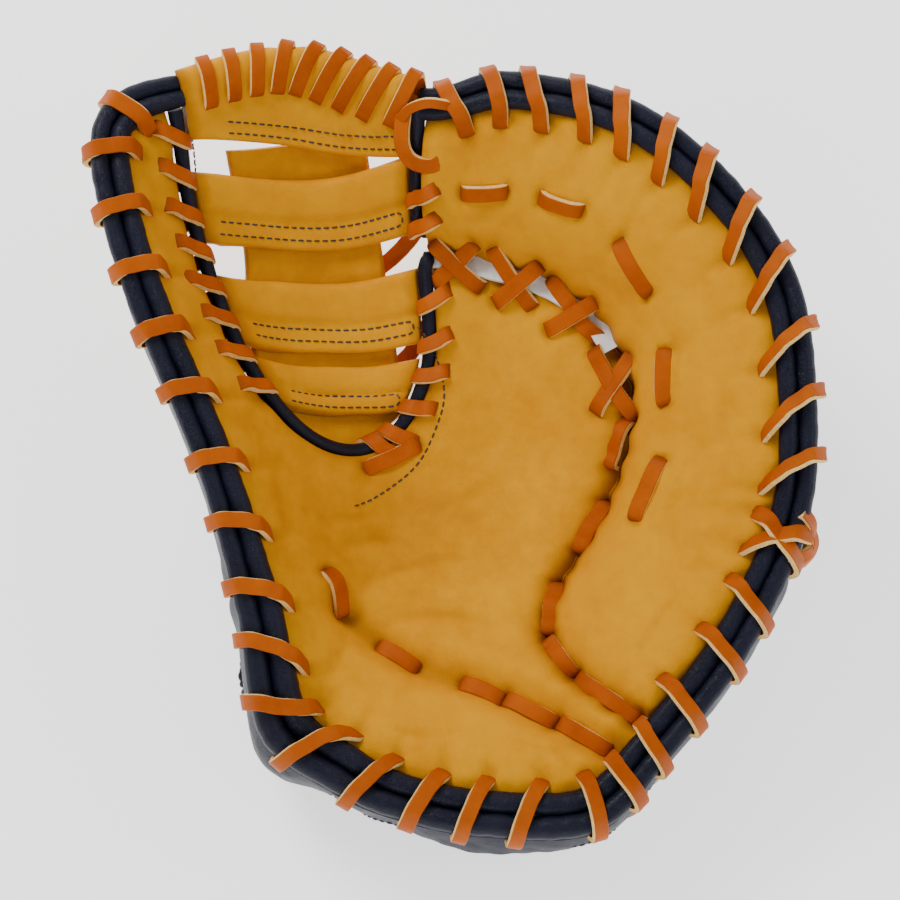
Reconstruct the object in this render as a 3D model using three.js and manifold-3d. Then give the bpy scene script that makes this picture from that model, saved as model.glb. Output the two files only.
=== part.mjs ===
// First baseman mitt, worn on the left hand, lying on its back with the palm up.
// Millimetres. +X runs from the thumb to the little finger, +Y from the heel to the
// top of the web, +Z up out of the palm. The origin is on the floor, under the middle
// of the whole mitt.

import * as THREE from 'three';
import { mergeVertices } from 'three/addons/utils/BufferGeometryUtils.js';
import Module from 'manifold-3d';

const wasm = await Module();
wasm.setup();
const Solid = wasm.Manifold;
const SolidMesh = wasm.Mesh;

// Overall sizes
const MITT_WIDTH = 264;
const MITT_LENGTH = 285;
const RIM_HEIGHT = 122;

// Leather, padding and rolls
const EDGE_LEATHER = 2.6;
const PALM_PAD = 8;
const PAD_TAPER = 14;
const SHELL_WALL = 3;
const RIM_BAND = 14;
const EDGE_DROP = 3;
const CLEARANCE = 0.4;

// Pocket
const POCKET_X = -30;
const POCKET_Y = 140;
const POCKET_FLOOR = 32;
const POCKET_CURVE = 1.8;
const CREASE_DEPTH = 3.5;
const CREASE_WIDTH = 20;
const SEAM_GAP = 1.2;

// Web
const CROTCH_X = -54;
const CROTCH_Y = 154;
const WEB_WIDTH = 88;
const WEB_DEPTH = 100;
const WEB_ROLL = 5;
const WEB_THICKNESS = 11.5;
const BAND_WIDTH = 23;
const BAND_THICKNESS = 5;
const BAND_DROP = 0.8;
const BAR_THICKNESS = 4.5;
const BAR_DROP = 1.5;
const POST_WIDTH = 44;
const POST_THICKNESS = 3.5;
const POST_DROP = BAR_DROP + BAR_THICKNESS + CLEARANCE;
const POST_LEAN = -0.22;
const POST_REACH = 1.02;
const ROLL_REACH = 0.86;
const WEB_MIDDLE_ACROSS = -0.18;

// Back of the mitt
const BACK_BLEND = 24;
const CRESCENT_SIDE = 26;
const CRESCENT_BASE = 48;
const STRAP_WIDTH = 47;
const STRAP_LENGTH = 116;
const WRIST_WIDTH = 92;
const WRIST_HEIGHT = 27;
const WRIST_LIP = 4.5;
const OPENING_WIDTH = 88;
const OPENING_LENGTH = 44;
const BINDING_RADIUS = 3;
const OPENING_FROM_STRAP = 6;
const OPENING_X = -6;
const OPENING_Y = STRAP_WIDTH + OPENING_FROM_STRAP + BINDING_RADIUS * 2 + OPENING_LENGTH / 2;
const LINING_DROP = 3;

// Laces
const LACE_WIDTH = 6;
const LACE_THICKNESS = 1.8;
const LACE_PITCH = 22.5;
const LACE_SKEW = 6;
const LACE_INSET = 4.5;
const HOLE_EASE = 0.5;
const ROOM_GROWTH = 1.1;
const LACE_LIFT = 2.2;
const LACE_DEPTH = 2.8;
const BAND_LACE_PITCH = 9;
const BAND_LACE_INSET = 7;
const BAND_LACE_EDGE = -2;
const BAND_LACE_SKEW = 2;
const WEB_LACE_PITCH = 21;
const WEB_LACE_SKEW = 3;

// How fine the facets are
const SPOKES = 36;
const PALM_RINGS = 5;
const BACK_RINGS = 5;
const ROLL_SIDES = 6;
const OVAL_STEPS = 14;
const ROLL_STEP = 18;
const RIM_STEPS = 16;
const PLAN_STEPS = 2;
const SMALLEST_EDGE = 0.05;

// Cutting prisms reach well past the mitt on every side
const CUT_BOTTOM = -40;
const CUT_TOP = 400;
const CUT_PAST = 40;

const leather = {
  golden: new THREE.MeshStandardMaterial({ color: 0xd79a14, roughness: 0.55, metalness: 0 }),
  navy: new THREE.MeshStandardMaterial({ color: 0x16182c, roughness: 0.42, metalness: 0 }),
  lace: new THREE.MeshStandardMaterial({ color: 0xc2622a, roughness: 0.6, metalness: 0 }),
};

// The rim seen from above, clockwise from the finger side of the web. Across is a share
// of MITT_WIDTH from the middle of the palm, along of MITT_LENGTH from the heel, up of
// RIM_HEIGHT. Band is the width of the two rolls, as a share of RIM_BAND. Foot is how
// far from the pocket's middle the back meets the floor, as a share of the rim's own
// distance, and belly is how far the back bulges past the rim, a share of RIM_BAND.
const RIM = [
  { at: 'web corner, fingers', across: -0.095, along: 0.947, up: 0.885, band: 0.85, foot: 0.30, belly: 0 },
  { at: 'middle finger', across: 0.023, along: 0.960, up: 0.951, band: 1.0, foot: 0.34, belly: 0 },
  { at: 'ring finger', across: 0.188, along: 0.916, up: 1.0, band: 1.0, foot: 0.36, belly: 0.1 },
  { at: 'little finger tip', across: 0.324, along: 0.819, up: 0.984, band: 1.0, foot: 0.36, belly: 0.2 },
  { at: 'little finger', across: 0.422, along: 0.682, up: 0.918, band: 1.0, foot: 0.36, belly: 0.3 },
  { at: 'palm side', across: 0.447, along: 0.505, up: 0.820, band: 1.0, foot: 0.38, belly: 0.3 },
  { at: 'palm side, low', across: 0.430, along: 0.372, up: 0.713, band: 1.0, foot: 0.42, belly: 0.3 },
  { at: 'outer heel, high', across: 0.354, along: 0.230, up: 0.582, band: 1.05, foot: 0.50, belly: 0.3 },
  { at: 'outer heel', across: 0.248, along: 0.105, up: 0.475, band: 1.1, foot: 0.62, belly: 0.2 },
  { at: 'heel, outer', across: 0.148, along: 0.014, up: 0.426, band: 1.2, foot: 0.80, belly: 0.2 },
  { at: 'heel, middle', across: -0.010, along: 0.008, up: 0.418, band: 1.2, foot: 0.84, belly: 0.4 },
  { at: 'heel, inner', across: -0.136, along: 0.032, up: 0.426, band: 1.2, foot: 0.80, belly: 0.1 },
  { at: 'thumb heel', across: -0.223, along: 0.067, up: 0.443, band: 1.3, foot: 0.68, belly: 0.1 },
  { at: 'thumb heel, high', across: -0.318, along: 0.133, up: 0.492, band: 1.4, foot: 0.60, belly: 0.6 },
  { at: 'thumb side, low', across: -0.350, along: 0.284, up: 0.623, band: 1.15, foot: 0.52, belly: 0.4 },
  { at: 'thumb side', across: -0.405, along: 0.456, up: 0.770, band: 1.0, foot: 0.46, belly: 0.2 },
  { at: 'thumb side, high', across: -0.504, along: 0.670, up: 0.885, band: 1.0, foot: 0.40, belly: 0.1 },
  { at: 'thumb tip, outer', across: -0.553, along: 0.846, up: 0.934, band: 1.0, foot: 0.34, belly: 0 },
  { at: 'thumb tip', across: -0.525, along: 0.930, up: 0.920, band: 1.0, foot: 0.30, belly: 0 },
  { at: 'web corner, thumb', across: -0.436, along: 0.968, up: 0.869, band: 0.85, foot: 0.30, belly: 0 },
  { at: 'web top', across: -0.273, along: 0.980, up: 0.810, band: 0.2, foot: 0.30, belly: 0 },
];
const LAST_RIM_STATION = RIM.length - 2;
const BELLY_GAIN = 2.6;

// Where each lace starts and ends, as shares of the rim's length from the finger side of
// the web, or of the U's length from its finger side.
const RIM_LACES = [
  { name: 'rim_lace_fingers', from: 0.01, to: 0.42 },
  { name: 'rim_lace_heel', from: 0.43, to: 0.72 },
  { name: 'rim_lace_thumb', from: 0.73, to: 0.99 },
];
const WEB_LACES = [
  { name: 'web_lace_finger_side', from: 0.14, to: 0.47 },
  { name: 'web_lace_thumb_side', from: 0.53, to: 0.86 },
];

// The U that the web fills, seen from above, from the finger side round the crotch to
// the thumb side. Across is a share of WEB_WIDTH and along of WEB_DEPTH, both from the
// crotch.
const WEB_EDGE = [
  { across: 0.31, along: 1.30 },
  { across: 0.28, along: 1.02 },
  { across: 0.28, along: 0.76 },
  { across: 0.32, along: 0.52 },
  { across: 0.32, along: 0.29 },
  { across: 0.20, along: 0.09 },
  { across: 0.0, along: 0.0 },
  { across: -0.19, along: 0.05 },
  { across: -0.38, along: 0.24 },
  { across: -0.52, along: 0.50 },
  { across: -0.62, along: 0.78 },
  { across: -0.67, along: 1.05 },
  { across: -0.74, along: 1.32 },
];

// The seam between the crescent and the palm, and the crease across the heel pad, seen
// from above. Across is a share of MITT_WIDTH and along of MITT_LENGTH.
const SEAM = [
  { across: -0.16, along: 0.772 },
  { across: -0.031, along: 0.752 },
  { across: 0.086, along: 0.713 },
  { across: 0.157, along: 0.649 },
  { across: 0.187, along: 0.565 },
  { across: 0.155, along: 0.452 },
  { across: 0.094, along: 0.355 },
  { across: 0.076, along: 0.285 },
  { across: 0.115, along: 0.223 },
  { across: 0.2, along: 0.158 },
  { across: 0.3, along: 0.09 },
];
const HEEL_CREASE = [
  { across: -0.224, along: 0.346 },
  { across: -0.197, along: 0.308 },
  { across: -0.101, along: 0.242 },
  { across: 0.018, along: 0.199 },
  { across: 0.159, along: 0.122 },
  { across: 0.26, along: 0.06 },
];

// Cross bars of the web: how far up the middle of the U they lie, and their width, both
// as shares of WEB_DEPTH.
const BAR_TILT = 0.05;
const BARS = [
  { name: 'web_bar_upper', along: 0.80, width: 0.23 },
  { name: 'web_bar_middle', along: 0.455, width: 0.24 },
  { name: 'web_bar_base', along: 0.20, width: 0.17 },
];

// Curves

function smoothRow(rows, index, closed) {
  const count = rows.length;
  if (closed) return rows[(index + count) % count];
  return rows[Math.min(Math.max(index, 0), count - 1)];
}

function smoothTable(rows, keys, steps, closed) {
  const out = [];
  const spans = closed ? rows.length : rows.length - 1;
  for (let i = 0; i < spans; i += 1) {
    const near = [-1, 0, 1, 2].map((k) => smoothRow(rows, i + k, closed));
    for (let k = 0; k < steps; k += 1) {
      const t = k / steps;
      const weights = [
        0.5 * (-t + 2 * t * t - t * t * t),
        0.5 * (2 - 5 * t * t + 3 * t * t * t),
        0.5 * (t + 4 * t * t - 3 * t * t * t),
        0.5 * (-t * t + t * t * t),
      ];
      const point = {};
      for (const key of keys) {
        point[key] = near.reduce((sum, row, j) => sum + row[key] * weights[j], 0);
      }
      point.station = i + t;
      out.push(point);
    }
  }
  if (!closed) out.push({ ...rows[rows.length - 1], station: spans });
  return out;
}

function withNormals(points, closed, inside) {
  const count = points.length;
  points.forEach((point, i) => {
    const before = closed ? points[(i + count - 1) % count] : points[Math.max(i - 1, 0)];
    const after = closed ? points[(i + 1) % count] : points[Math.min(i + 1, count - 1)];
    const length = Math.hypot(after.x - before.x, after.y - before.y);
    point.tx = (after.x - before.x) / length;
    point.ty = (after.y - before.y) / length;
    point.nx = -point.ty;
    point.ny = point.tx;
  });
  const facing = points.reduce((sum, p) => sum + (inside.x - p.x) * p.nx + (inside.y - p.y) * p.ny, 0);
  if (facing < 0) {
    for (const point of points) {
      point.nx = -point.nx;
      point.ny = -point.ny;
    }
  }
  return points;
}

function withLengths(points) {
  let run = 0;
  points.forEach((point, i) => {
    if (i > 0) run += Math.hypot(point.x - points[i - 1].x, point.y - points[i - 1].y);
    point.run = run;
  });
  return points;
}

function atLength(points, run) {
  let i = 1;
  while (i < points.length - 1 && points[i].run < run) i += 1;
  const a = points[i - 1];
  const b = points[i];
  const t = Math.min(Math.max((run - a.run) / (b.run - a.run), 0), 1);
  const out = {};
  for (const key of Object.keys(a)) out[key] = a[key] + (b[key] - a[key]) * t;
  return out;
}

function offsetPoints(points, distance) {
  return points.map((p) => {
    const d = typeof distance === 'function' ? distance(p) : distance;
    return { ...p, x: p.x - p.nx * d, y: p.y - p.ny * d };
  });
}

function polarTable(points, keys) {
  const rows = points.map((p) => {
    const row = { angle: Math.atan2(p.y - POCKET_Y, p.x - POCKET_X) };
    row.radius = Math.hypot(p.x - POCKET_X, p.y - POCKET_Y);
    for (const key of keys) row[key] = p[key];
    return row;
  });
  rows.sort((a, b) => a.angle - b.angle);
  const last = { ...rows[rows.length - 1], angle: rows[rows.length - 1].angle - 2 * Math.PI };
  const first = { ...rows[0], angle: rows[0].angle + 2 * Math.PI };
  return [last, ...rows, first];
}

function lookUp(table, angle) {
  let low = 0;
  let high = table.length - 1;
  while (high - low > 1) {
    const middle = (low + high) >> 1;
    if (table[middle].angle <= angle) low = middle;
    else high = middle;
  }
  const a = table[low];
  const b = table[high];
  const t = (angle - a.angle) / (b.angle - a.angle);
  const out = {};
  for (const key of Object.keys(a)) out[key] = a[key] + (b[key] - a[key]) * t;
  return out;
}

function distanceTo(points, x, y) {
  let best = Infinity;
  for (let i = 1; i < points.length; i += 1) {
    const a = points[i - 1];
    const b = points[i];
    const dx = b.x - a.x;
    const dy = b.y - a.y;
    const t = Math.min(Math.max(((x - a.x) * dx + (y - a.y) * dy) / (dx * dx + dy * dy), 0), 1);
    best = Math.min(best, Math.hypot(x - a.x - dx * t, y - a.y - dy * t));
  }
  return best;
}

function insideOf(points, x, y) {
  let inside = false;
  for (let i = 0, j = points.length - 1; i < points.length; j = i, i += 1) {
    const a = points[i];
    const b = points[j];
    if ((a.y > y) !== (b.y > y) && x < ((b.x - a.x) * (y - a.y)) / (b.y - a.y) + a.x) inside = !inside;
  }
  return inside;
}

function smoothStep(value) {
  const t = Math.min(Math.max(value, 0), 1);
  return t * t * (3 - 2 * t);
}

// The rim, the golden leather's edge inside its rolls, the U and the seams

const pocket = { x: POCKET_X, y: POCKET_Y };
const rim = withNormals(
  smoothTable(RIM, ['across', 'along', 'up', 'band', 'foot', 'belly'], RIM_STEPS, true).map((p) => ({
    x: p.across * MITT_WIDTH,
    y: p.along * MITT_LENGTH,
    z: p.up * RIM_HEIGHT,
    band: p.band * RIM_BAND,
    foot: p.foot,
    belly: p.belly * RIM_BAND,
    station: p.station,
  })),
  true,
  pocket,
);
const goldenEdge = rim.map((p) => ({
  x: p.x + p.nx * p.band,
  y: p.y + p.ny * p.band,
  z: p.z - EDGE_DROP,
}));
const rimPolar = polarTable(rim, ['z', 'band', 'foot', 'belly']);
const goldenPolar = polarTable(goldenEdge, ['z']);

function planCurve(rows) {
  return smoothTable(rows, ['across', 'along'], PLAN_STEPS, false).map((p) => ({
    x: p.across * MITT_WIDTH,
    y: p.along * MITT_LENGTH,
  }));
}

const webMiddle = { x: CROTCH_X + WEB_WIDTH * WEB_MIDDLE_ACROSS, y: CROTCH_Y + WEB_DEPTH / 2 };
const webEdge = withLengths(withNormals(
  smoothTable(WEB_EDGE, ['across', 'along'], PLAN_STEPS, false).map((p) => ({
    x: CROTCH_X + p.across * WEB_WIDTH,
    y: CROTCH_Y + p.along * WEB_DEPTH,
  })),
  false,
  webMiddle,
));
const seam = withLengths(withNormals(planCurve(SEAM), false, pocket));
const heelCrease = withNormals(planCurve(HEEL_CREASE), false, pocket);

// Heights

function palmHeight(x, y) {
  const edge = lookUp(goldenPolar, Math.atan2(y - POCKET_Y, x - POCKET_X));
  const share = Math.hypot(x - POCKET_X, y - POCKET_Y) / edge.radius;
  return POCKET_FLOOR + (edge.z - POCKET_FLOOR) * share ** POCKET_CURVE;
}

function surfaceNormal(height, x, y) {
  const step = 1;
  const slopeX = (height(x + step, y) - height(x - step, y)) / (2 * step);
  const slopeY = (height(x, y + step) - height(x, y - step)) / (2 * step);
  return new THREE.Vector3(-slopeX, -slopeY, 1).normalize();
}

function underPalm(x, y, depth) {
  return palmHeight(x, y) - depth / surfaceNormal(palmHeight, x, y).z;
}

function webDistance(x, y) {
  const distance = distanceTo(webEdge, x, y);
  return insideOf(webEdge, x, y) ? -distance : distance;
}

// How close a point is to the web, from 0 far off to 1 in the U.
function webNearness(x, y) {
  return 1 - smoothStep(webDistance(x, y) / BACK_BLEND);
}

// Solids

function toSolid(geometry) {
  const plain = geometry.clone();
  plain.deleteAttribute('normal');
  plain.deleteAttribute('uv');
  const merged = mergeVertices(plain, 1e-4);
  return new Solid(new SolidMesh({
    numProp: 3,
    vertProperties: new Float32Array(merged.attributes.position.array),
    triVerts: new Uint32Array(merged.index.array),
  }));
}

function facetSolid(points, triangles) {
  const geometry = new THREE.BufferGeometry();
  const flat = points.flatMap((p) => [p.x, p.y, p.z]);
  geometry.setAttribute('position', new THREE.Float32BufferAttribute(flat, 3));
  geometry.setIndex(triangles);
  return toSolid(geometry);
}

function prism(points) {
  const shape = new THREE.Shape(points.map((p) => new THREE.Vector2(p.x, p.y)));
  const geometry = new THREE.ExtrudeGeometry(shape, { depth: CUT_TOP - CUT_BOTTOM, bevelEnabled: false });
  geometry.translate(0, 0, CUT_BOTTOM);
  return toSolid(geometry);
}

function block(low, high) {
  const geometry = new THREE.BoxGeometry(high.x - low.x, high.y - low.y, high.z - low.z);
  geometry.translate((low.x + high.x) / 2, (low.y + high.y) / 2, (low.z + high.z) / 2);
  return toSolid(geometry);
}

// A closed sheet on a polar grid: the outer face's points, the inner face's points, both
// as rings of SPOKES points from the rim inwards, with one point in the middle of each.
function polarSheet(outerRings, outerMiddle, innerRings, innerMiddle) {
  const points = [...outerRings.flat(), outerMiddle, ...innerRings.flat(), innerMiddle];
  const innerStart = outerRings.length * SPOKES + 1;
  const triangles = [];
  const ring = (start, r, s) => start + r * SPOKES + (s % SPOKES);
  const lastRing = outerRings.length - 1;
  for (let s = 0; s < SPOKES; s += 1) {
    for (let r = 0; r < lastRing; r += 1) {
      const outer = [ring(0, r, s), ring(0, r, s + 1), ring(0, r + 1, s + 1), ring(0, r + 1, s)];
      const inner = outer.map((index) => index + innerStart);
      triangles.push(outer[0], outer[1], outer[2], outer[0], outer[2], outer[3]);
      triangles.push(inner[0], inner[2], inner[1], inner[0], inner[3], inner[2]);
    }
    triangles.push(ring(0, lastRing, s), ring(0, lastRing, s + 1), innerStart - 1);
    triangles.push(ring(innerStart, lastRing, s), 2 * innerStart - 1, ring(innerStart, lastRing, s + 1));
    const edge = [ring(0, 0, s), ring(innerStart, 0, s), ring(innerStart, 0, s + 1), ring(0, 0, s + 1)];
    triangles.push(edge[0], edge[1], edge[2], edge[0], edge[2], edge[3]);
  }
  return facetSolid(points, triangles);
}

function spokeAngle(s) {
  return (2 * Math.PI * s) / SPOKES;
}

function wrapAngle(angle) {
  return angle > Math.PI ? angle - 2 * Math.PI : angle;
}

// A leather sheet that follows the palm's surface, dropped by drop, with its thickness a
// function of the place.
function palmSheet(drop, thickness, reach) {
  const tops = [];
  const bottoms = [];
  const place = (x, y, share) => {
    const normal = surfaceNormal(palmHeight, x, y);
    const top = new THREE.Vector3(x, y, palmHeight(x, y)).addScaledVector(normal, -drop);
    const turned = drop > 0 ? 1 : smoothStep((1 - share) * 6);
    const lean = new THREE.Vector3(0, 0, 1).lerp(normal, turned).normalize();
    return [top, top.clone().addScaledVector(lean, -thickness(x, y, share))];
  };
  for (let r = 0; r < PALM_RINGS; r += 1) {
    const share = 1 - r / PALM_RINGS;
    const top = [];
    const bottom = [];
    for (let s = 0; s < SPOKES; s += 1) {
      const angle = spokeAngle(s);
      const edge = lookUp(goldenPolar, wrapAngle(angle));
      const radius = (edge.radius + reach) * share;
      const pair = place(POCKET_X + radius * Math.cos(angle), POCKET_Y + radius * Math.sin(angle), share);
      top.push(pair[0]);
      bottom.push(pair[1]);
    }
    tops.push(top);
    bottoms.push(bottom);
  }
  const middle = place(POCKET_X, POCKET_Y, 0);
  return polarSheet(tops, middle[0], bottoms, middle[1]);
}

// The whole back as one bowl with a flat foot. Lift is the share of the way round from
// the floor, 0, to the rim, 1. Near the web it rises to lie under the palm's leather.
// The belly is a curve of the lift with its peak, 1 / BELLY_GAIN, two thirds of the way.
function backPoint(angle, lift) {
  const side = lookUp(rimPolar, wrapAngle(angle));
  const turn = (lift * Math.PI) / 2;
  const foot = side.radius * side.foot;
  const belly = side.belly * BELLY_GAIN * Math.sin(turn) ** 2 * Math.cos(turn);
  const radius = foot + (side.radius - CLEARANCE - foot) * Math.sin(turn) + belly;
  const top = side.z - side.band / 2 - CLEARANCE * 4;
  const x = POCKET_X + radius * Math.cos(angle);
  const y = POCKET_Y + radius * Math.sin(angle);
  const plain = top * (1 - Math.cos(turn));
  const under = underPalm(x, y, WEB_THICKNESS);
  const raised = plain + webNearness(x, y) * Math.max(under - plain, 0);
  return new THREE.Vector3(x, y, Math.min(raised, top));
}

function backNormal(angle, lift) {
  const step = 0.01;
  const low = backPoint(angle, Math.max(lift - step, 0));
  const high = backPoint(angle, Math.min(lift + step, 1));
  const left = backPoint(angle - step, lift);
  const right = backPoint(angle + step, lift);
  const inward = new THREE.Vector3().crossVectors(right.sub(left), high.sub(low)).normalize();
  const towardsPocket = new THREE.Vector3(-Math.cos(angle), -Math.sin(angle), 1);
  return inward.dot(towardsPocket) < 0 ? inward.negate() : inward;
}

function backBowl() {
  const outers = [];
  const inners = [];
  for (let r = 0; r < BACK_RINGS; r += 1) {
    const lift = 1 - r / BACK_RINGS;
    const outer = [];
    const inner = [];
    for (let s = 0; s < SPOKES; s += 1) {
      const point = backPoint(spokeAngle(s), lift);
      const normal = backNormal(spokeAngle(s), lift);
      outer.push(point);
      inner.push(point.clone().addScaledVector(normal, SHELL_WALL));
    }
    outers.push(outer);
    inners.push(inner);
  }
  const footRing = [];
  const footInner = [];
  for (let s = 0; s < SPOKES; s += 1) {
    const point = backPoint(spokeAngle(s), 0);
    footRing.push(point);
    footInner.push(point.clone().add(new THREE.Vector3(0, 0, SHELL_WALL)));
  }
  outers.push(footRing);
  inners.push(footInner);
  const under = underPalm(POCKET_X, POCKET_Y, WEB_THICKNESS);
  const middle = new THREE.Vector3(POCKET_X, POCKET_Y, webNearness(POCKET_X, POCKET_Y) * under);
  const innerMiddle = middle.clone().add(new THREE.Vector3(0, 0, SHELL_WALL));
  return polarSheet(inners, innerMiddle, outers, middle);
}

// A closed bar swept through frames, each with its middle, its side and its up vector.
function sweep(frames, section, closed) {
  const points = [];
  const triangles = [];
  const count = section.length;
  for (const frame of frames) {
    for (const corner of section) {
      points.push(frame.at.clone()
        .addScaledVector(frame.side, corner.x)
        .addScaledVector(frame.up, corner.y));
    }
  }
  const spans = closed ? frames.length : frames.length - 1;
  for (let i = 0; i < spans; i += 1) {
    for (let k = 0; k < count; k += 1) {
      const a = i * count + k;
      const b = i * count + ((k + 1) % count);
      const c = (((i + 1) % frames.length) * count) + ((k + 1) % count);
      const d = (((i + 1) % frames.length) * count) + k;
      triangles.push(a, b, c, a, c, d);
    }
  }
  if (!closed) {
    const end = (frames.length - 1) * count;
    for (let k = 1; k < count - 1; k += 1) {
      triangles.push(0, k + 1, k);
      triangles.push(end, end + k, end + k + 1);
    }
  }
  const solid = facetSolid(points, triangles);
  if (solid.volume() > 0) return solid;
  const flipped = [];
  for (let i = 0; i < triangles.length; i += 3) {
    flipped.push(triangles[i], triangles[i + 2], triangles[i + 1]);
  }
  return facetSolid(points, flipped);
}

function roundSection(radius) {
  return Array.from({ length: ROLL_SIDES }, (_, k) => {
    const angle = (2 * Math.PI * (k + 0.5)) / ROLL_SIDES;
    return { x: radius * Math.cos(angle), y: radius * Math.sin(angle) };
  });
}

function laceSection(swell) {
  const width = LACE_WIDTH / 2 + swell;
  const height = LACE_THICKNESS / 2 + swell;
  return [
    { x: width, y: height },
    { x: -width, y: height },
    { x: -width, y: -height },
    { x: width, y: -height },
  ];
}

function laceFrames(places) {
  return places.map((place, i) => {
    const before = places[Math.max(i - 1, 0)].at;
    const after = places[Math.min(i + 1, places.length - 1)].at;
    const forward = after.clone().sub(before).normalize();
    const up = new THREE.Vector3().crossVectors(forward, place.side).normalize();
    const side = new THREE.Vector3().crossVectors(up, forward).normalize();
    return { at: place.at, side, up };
  });
}

// A flat lace through places, each with the direction of the lace's width.
function laceSolid(places) {
  return sweep(laceFrames(places), laceSection(0), false);
}

// A solid grown by ROOM_GROWTH about its own middle.
function grown(solid) {
  const { min, max } = solid.boundingBox();
  const middle = min.map((value, k) => (value + max[k]) / 2);
  return solid.translate(middle.map((value) => -value)).scale(ROOM_GROWTH).translate(middle);
}

// The stretches of a lace one by one: the lace itself, to see what it meets, and a
// slightly larger and longer copy, which makes its room.
function laceStretches(places) {
  const frames = laceFrames(places);
  return frames.slice(1).map((end, i) => {
    const start = frames[i];
    const forward = end.at.clone().sub(start.at).normalize();
    const longer = [
      { ...start, at: start.at.clone().addScaledVector(forward, -HOLE_EASE) },
      { ...end, at: end.at.clone().addScaledVector(forward, HOLE_EASE) },
    ];
    const strip = sweep([start, end], laceSection(0), false);
    return { strip, room: sweep(longer, laceSection(HOLE_EASE), false).add(grown(strip)) };
  });
}

// Rolls round the rim

const rimOpen = withLengths(rim.filter((p) => p.station <= LAST_RIM_STATION).map((p) => ({ ...p })));
const rimRun = rimOpen[rimOpen.length - 1].run;

function rimRoll(share) {
  const steps = Math.round(rimRun / ROLL_STEP);
  const frames = [];
  for (let i = 0; i <= steps; i += 1) {
    const p = atLength(rimOpen, (rimRun * i) / steps);
    const inset = p.band * share;
    const radius = p.band / 4 - CLEARANCE;
    frames.push({
      at: new THREE.Vector3(p.x + p.nx * inset, p.y + p.ny * inset, p.z - p.band / 4),
      side: new THREE.Vector3(p.nx * radius, p.ny * radius, 0),
      up: new THREE.Vector3(0, 0, radius),
    });
  }
  return sweep(frames, roundSection(1), false);
}

function webRoll() {
  const places = webEdge.filter((p) => p.y < CROTCH_Y + WEB_DEPTH * ROLL_REACH);
  const frames = places.filter((p, i) => i % 2 === 0).map((p) => {
    const x = p.x - (p.nx * WEB_ROLL) / 2;
    const y = p.y - (p.ny * WEB_ROLL) / 2;
    return {
      at: new THREE.Vector3(x, y, palmHeight(x, y) - WEB_ROLL / 2),
      side: new THREE.Vector3(p.nx, p.ny, 0),
      up: new THREE.Vector3(0, 0, 1),
    };
  });
  return sweep(frames, roundSection(WEB_ROLL / 2 - CLEARANCE), false);
}

// Laces. Each is one strip that comes up through the palm's leather, passes over the
// rolls, goes through the back's leather and runs on inside to its next hole.

function palmPlace(x, y, height) {
  const normal = surfaceNormal(palmHeight, x, y);
  return new THREE.Vector3(x, y, palmHeight(x, y)).addScaledVector(normal, height);
}

function rimLace(from, to) {
  const places = [];
  const count = Math.max(1, Math.round((to - from) / LACE_PITCH));
  for (let i = 0; i < count; i += 1) {
    const start = from + ((to - from) * (i + 0.5)) / count;
    const put = (along, inset, rise) => {
      const p = atLength(rimOpen, start + along * LACE_SKEW);
      const at = new THREE.Vector3(p.x + p.nx * inset(p), p.y + p.ny * inset(p), p.z + rise(p));
      places.push({ at, side: new THREE.Vector3(p.tx, p.ty, 0) });
    };
    const hole = atLength(rimOpen, start);
    const holeX = hole.x + hole.nx * (hole.band + LACE_INSET);
    const holeY = hole.y + hole.ny * (hole.band + LACE_INSET);
    const side = new THREE.Vector3(hole.tx, hole.ty, 0);
    places.push({ at: palmPlace(holeX, holeY, -PALM_PAD * 0.6 - LACE_DEPTH), side });
    places.push({ at: palmPlace(holeX, holeY, LACE_LIFT), side });
    put(0.4, (p) => p.band * 0.8, () => LACE_LIFT + CLEARANCE);
    put(0.7, (p) => p.band * 0.2, () => LACE_LIFT);
    put(0.9, () => -LACE_LIFT - CLEARANCE, (p) => -p.band / 4);
    put(1.2, () => SHELL_WALL + LACE_DEPTH, (p) => -p.band * 0.95);
  }
  return places;
}

function webLace(from, to) {
  const places = [];
  const count = Math.round((to - from) / WEB_LACE_PITCH);
  const hole = WEB_ROLL + LACE_INSET;
  for (let i = 0; i < count; i += 1) {
    const start = from + ((to - from) * (i + 0.5)) / count;
    const put = (along, out, rise) => {
      const p = atLength(webEdge, start + along);
      const at = palmPlace(p.x - p.nx * out, p.y - p.ny * out, rise);
      places.push({ at, side: new THREE.Vector3(p.tx, p.ty, 0) });
    };
    put(0, hole, -EDGE_LEATHER - LACE_DEPTH - CLEARANCE);
    put(0, hole, LACE_LIFT);
    put(WEB_LACE_SKEW, -LACE_INSET, LACE_LIFT);
    put(WEB_LACE_SKEW, -LACE_INSET, -WEB_THICKNESS - LACE_LIFT);
    put(WEB_LACE_SKEW * 2, hole, -WEB_THICKNESS - LACE_LIFT);
  }
  return places;
}

// The web

function webRegion(inset) {
  return offsetPoints(webEdge, -inset).map((p) => ({ x: p.x, y: p.y }));
}

const sheetOfWeb = palmSheet(BAR_DROP, () => BAR_THICKNESS, 8);
const sheetOfPost = palmSheet(POST_DROP, () => POST_THICKNESS, 8);
const sheetOfBand = palmSheet(BAND_DROP, () => BAND_THICKNESS, 10);
const insideU = prism(webRegion(CLEARANCE * 3));

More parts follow.
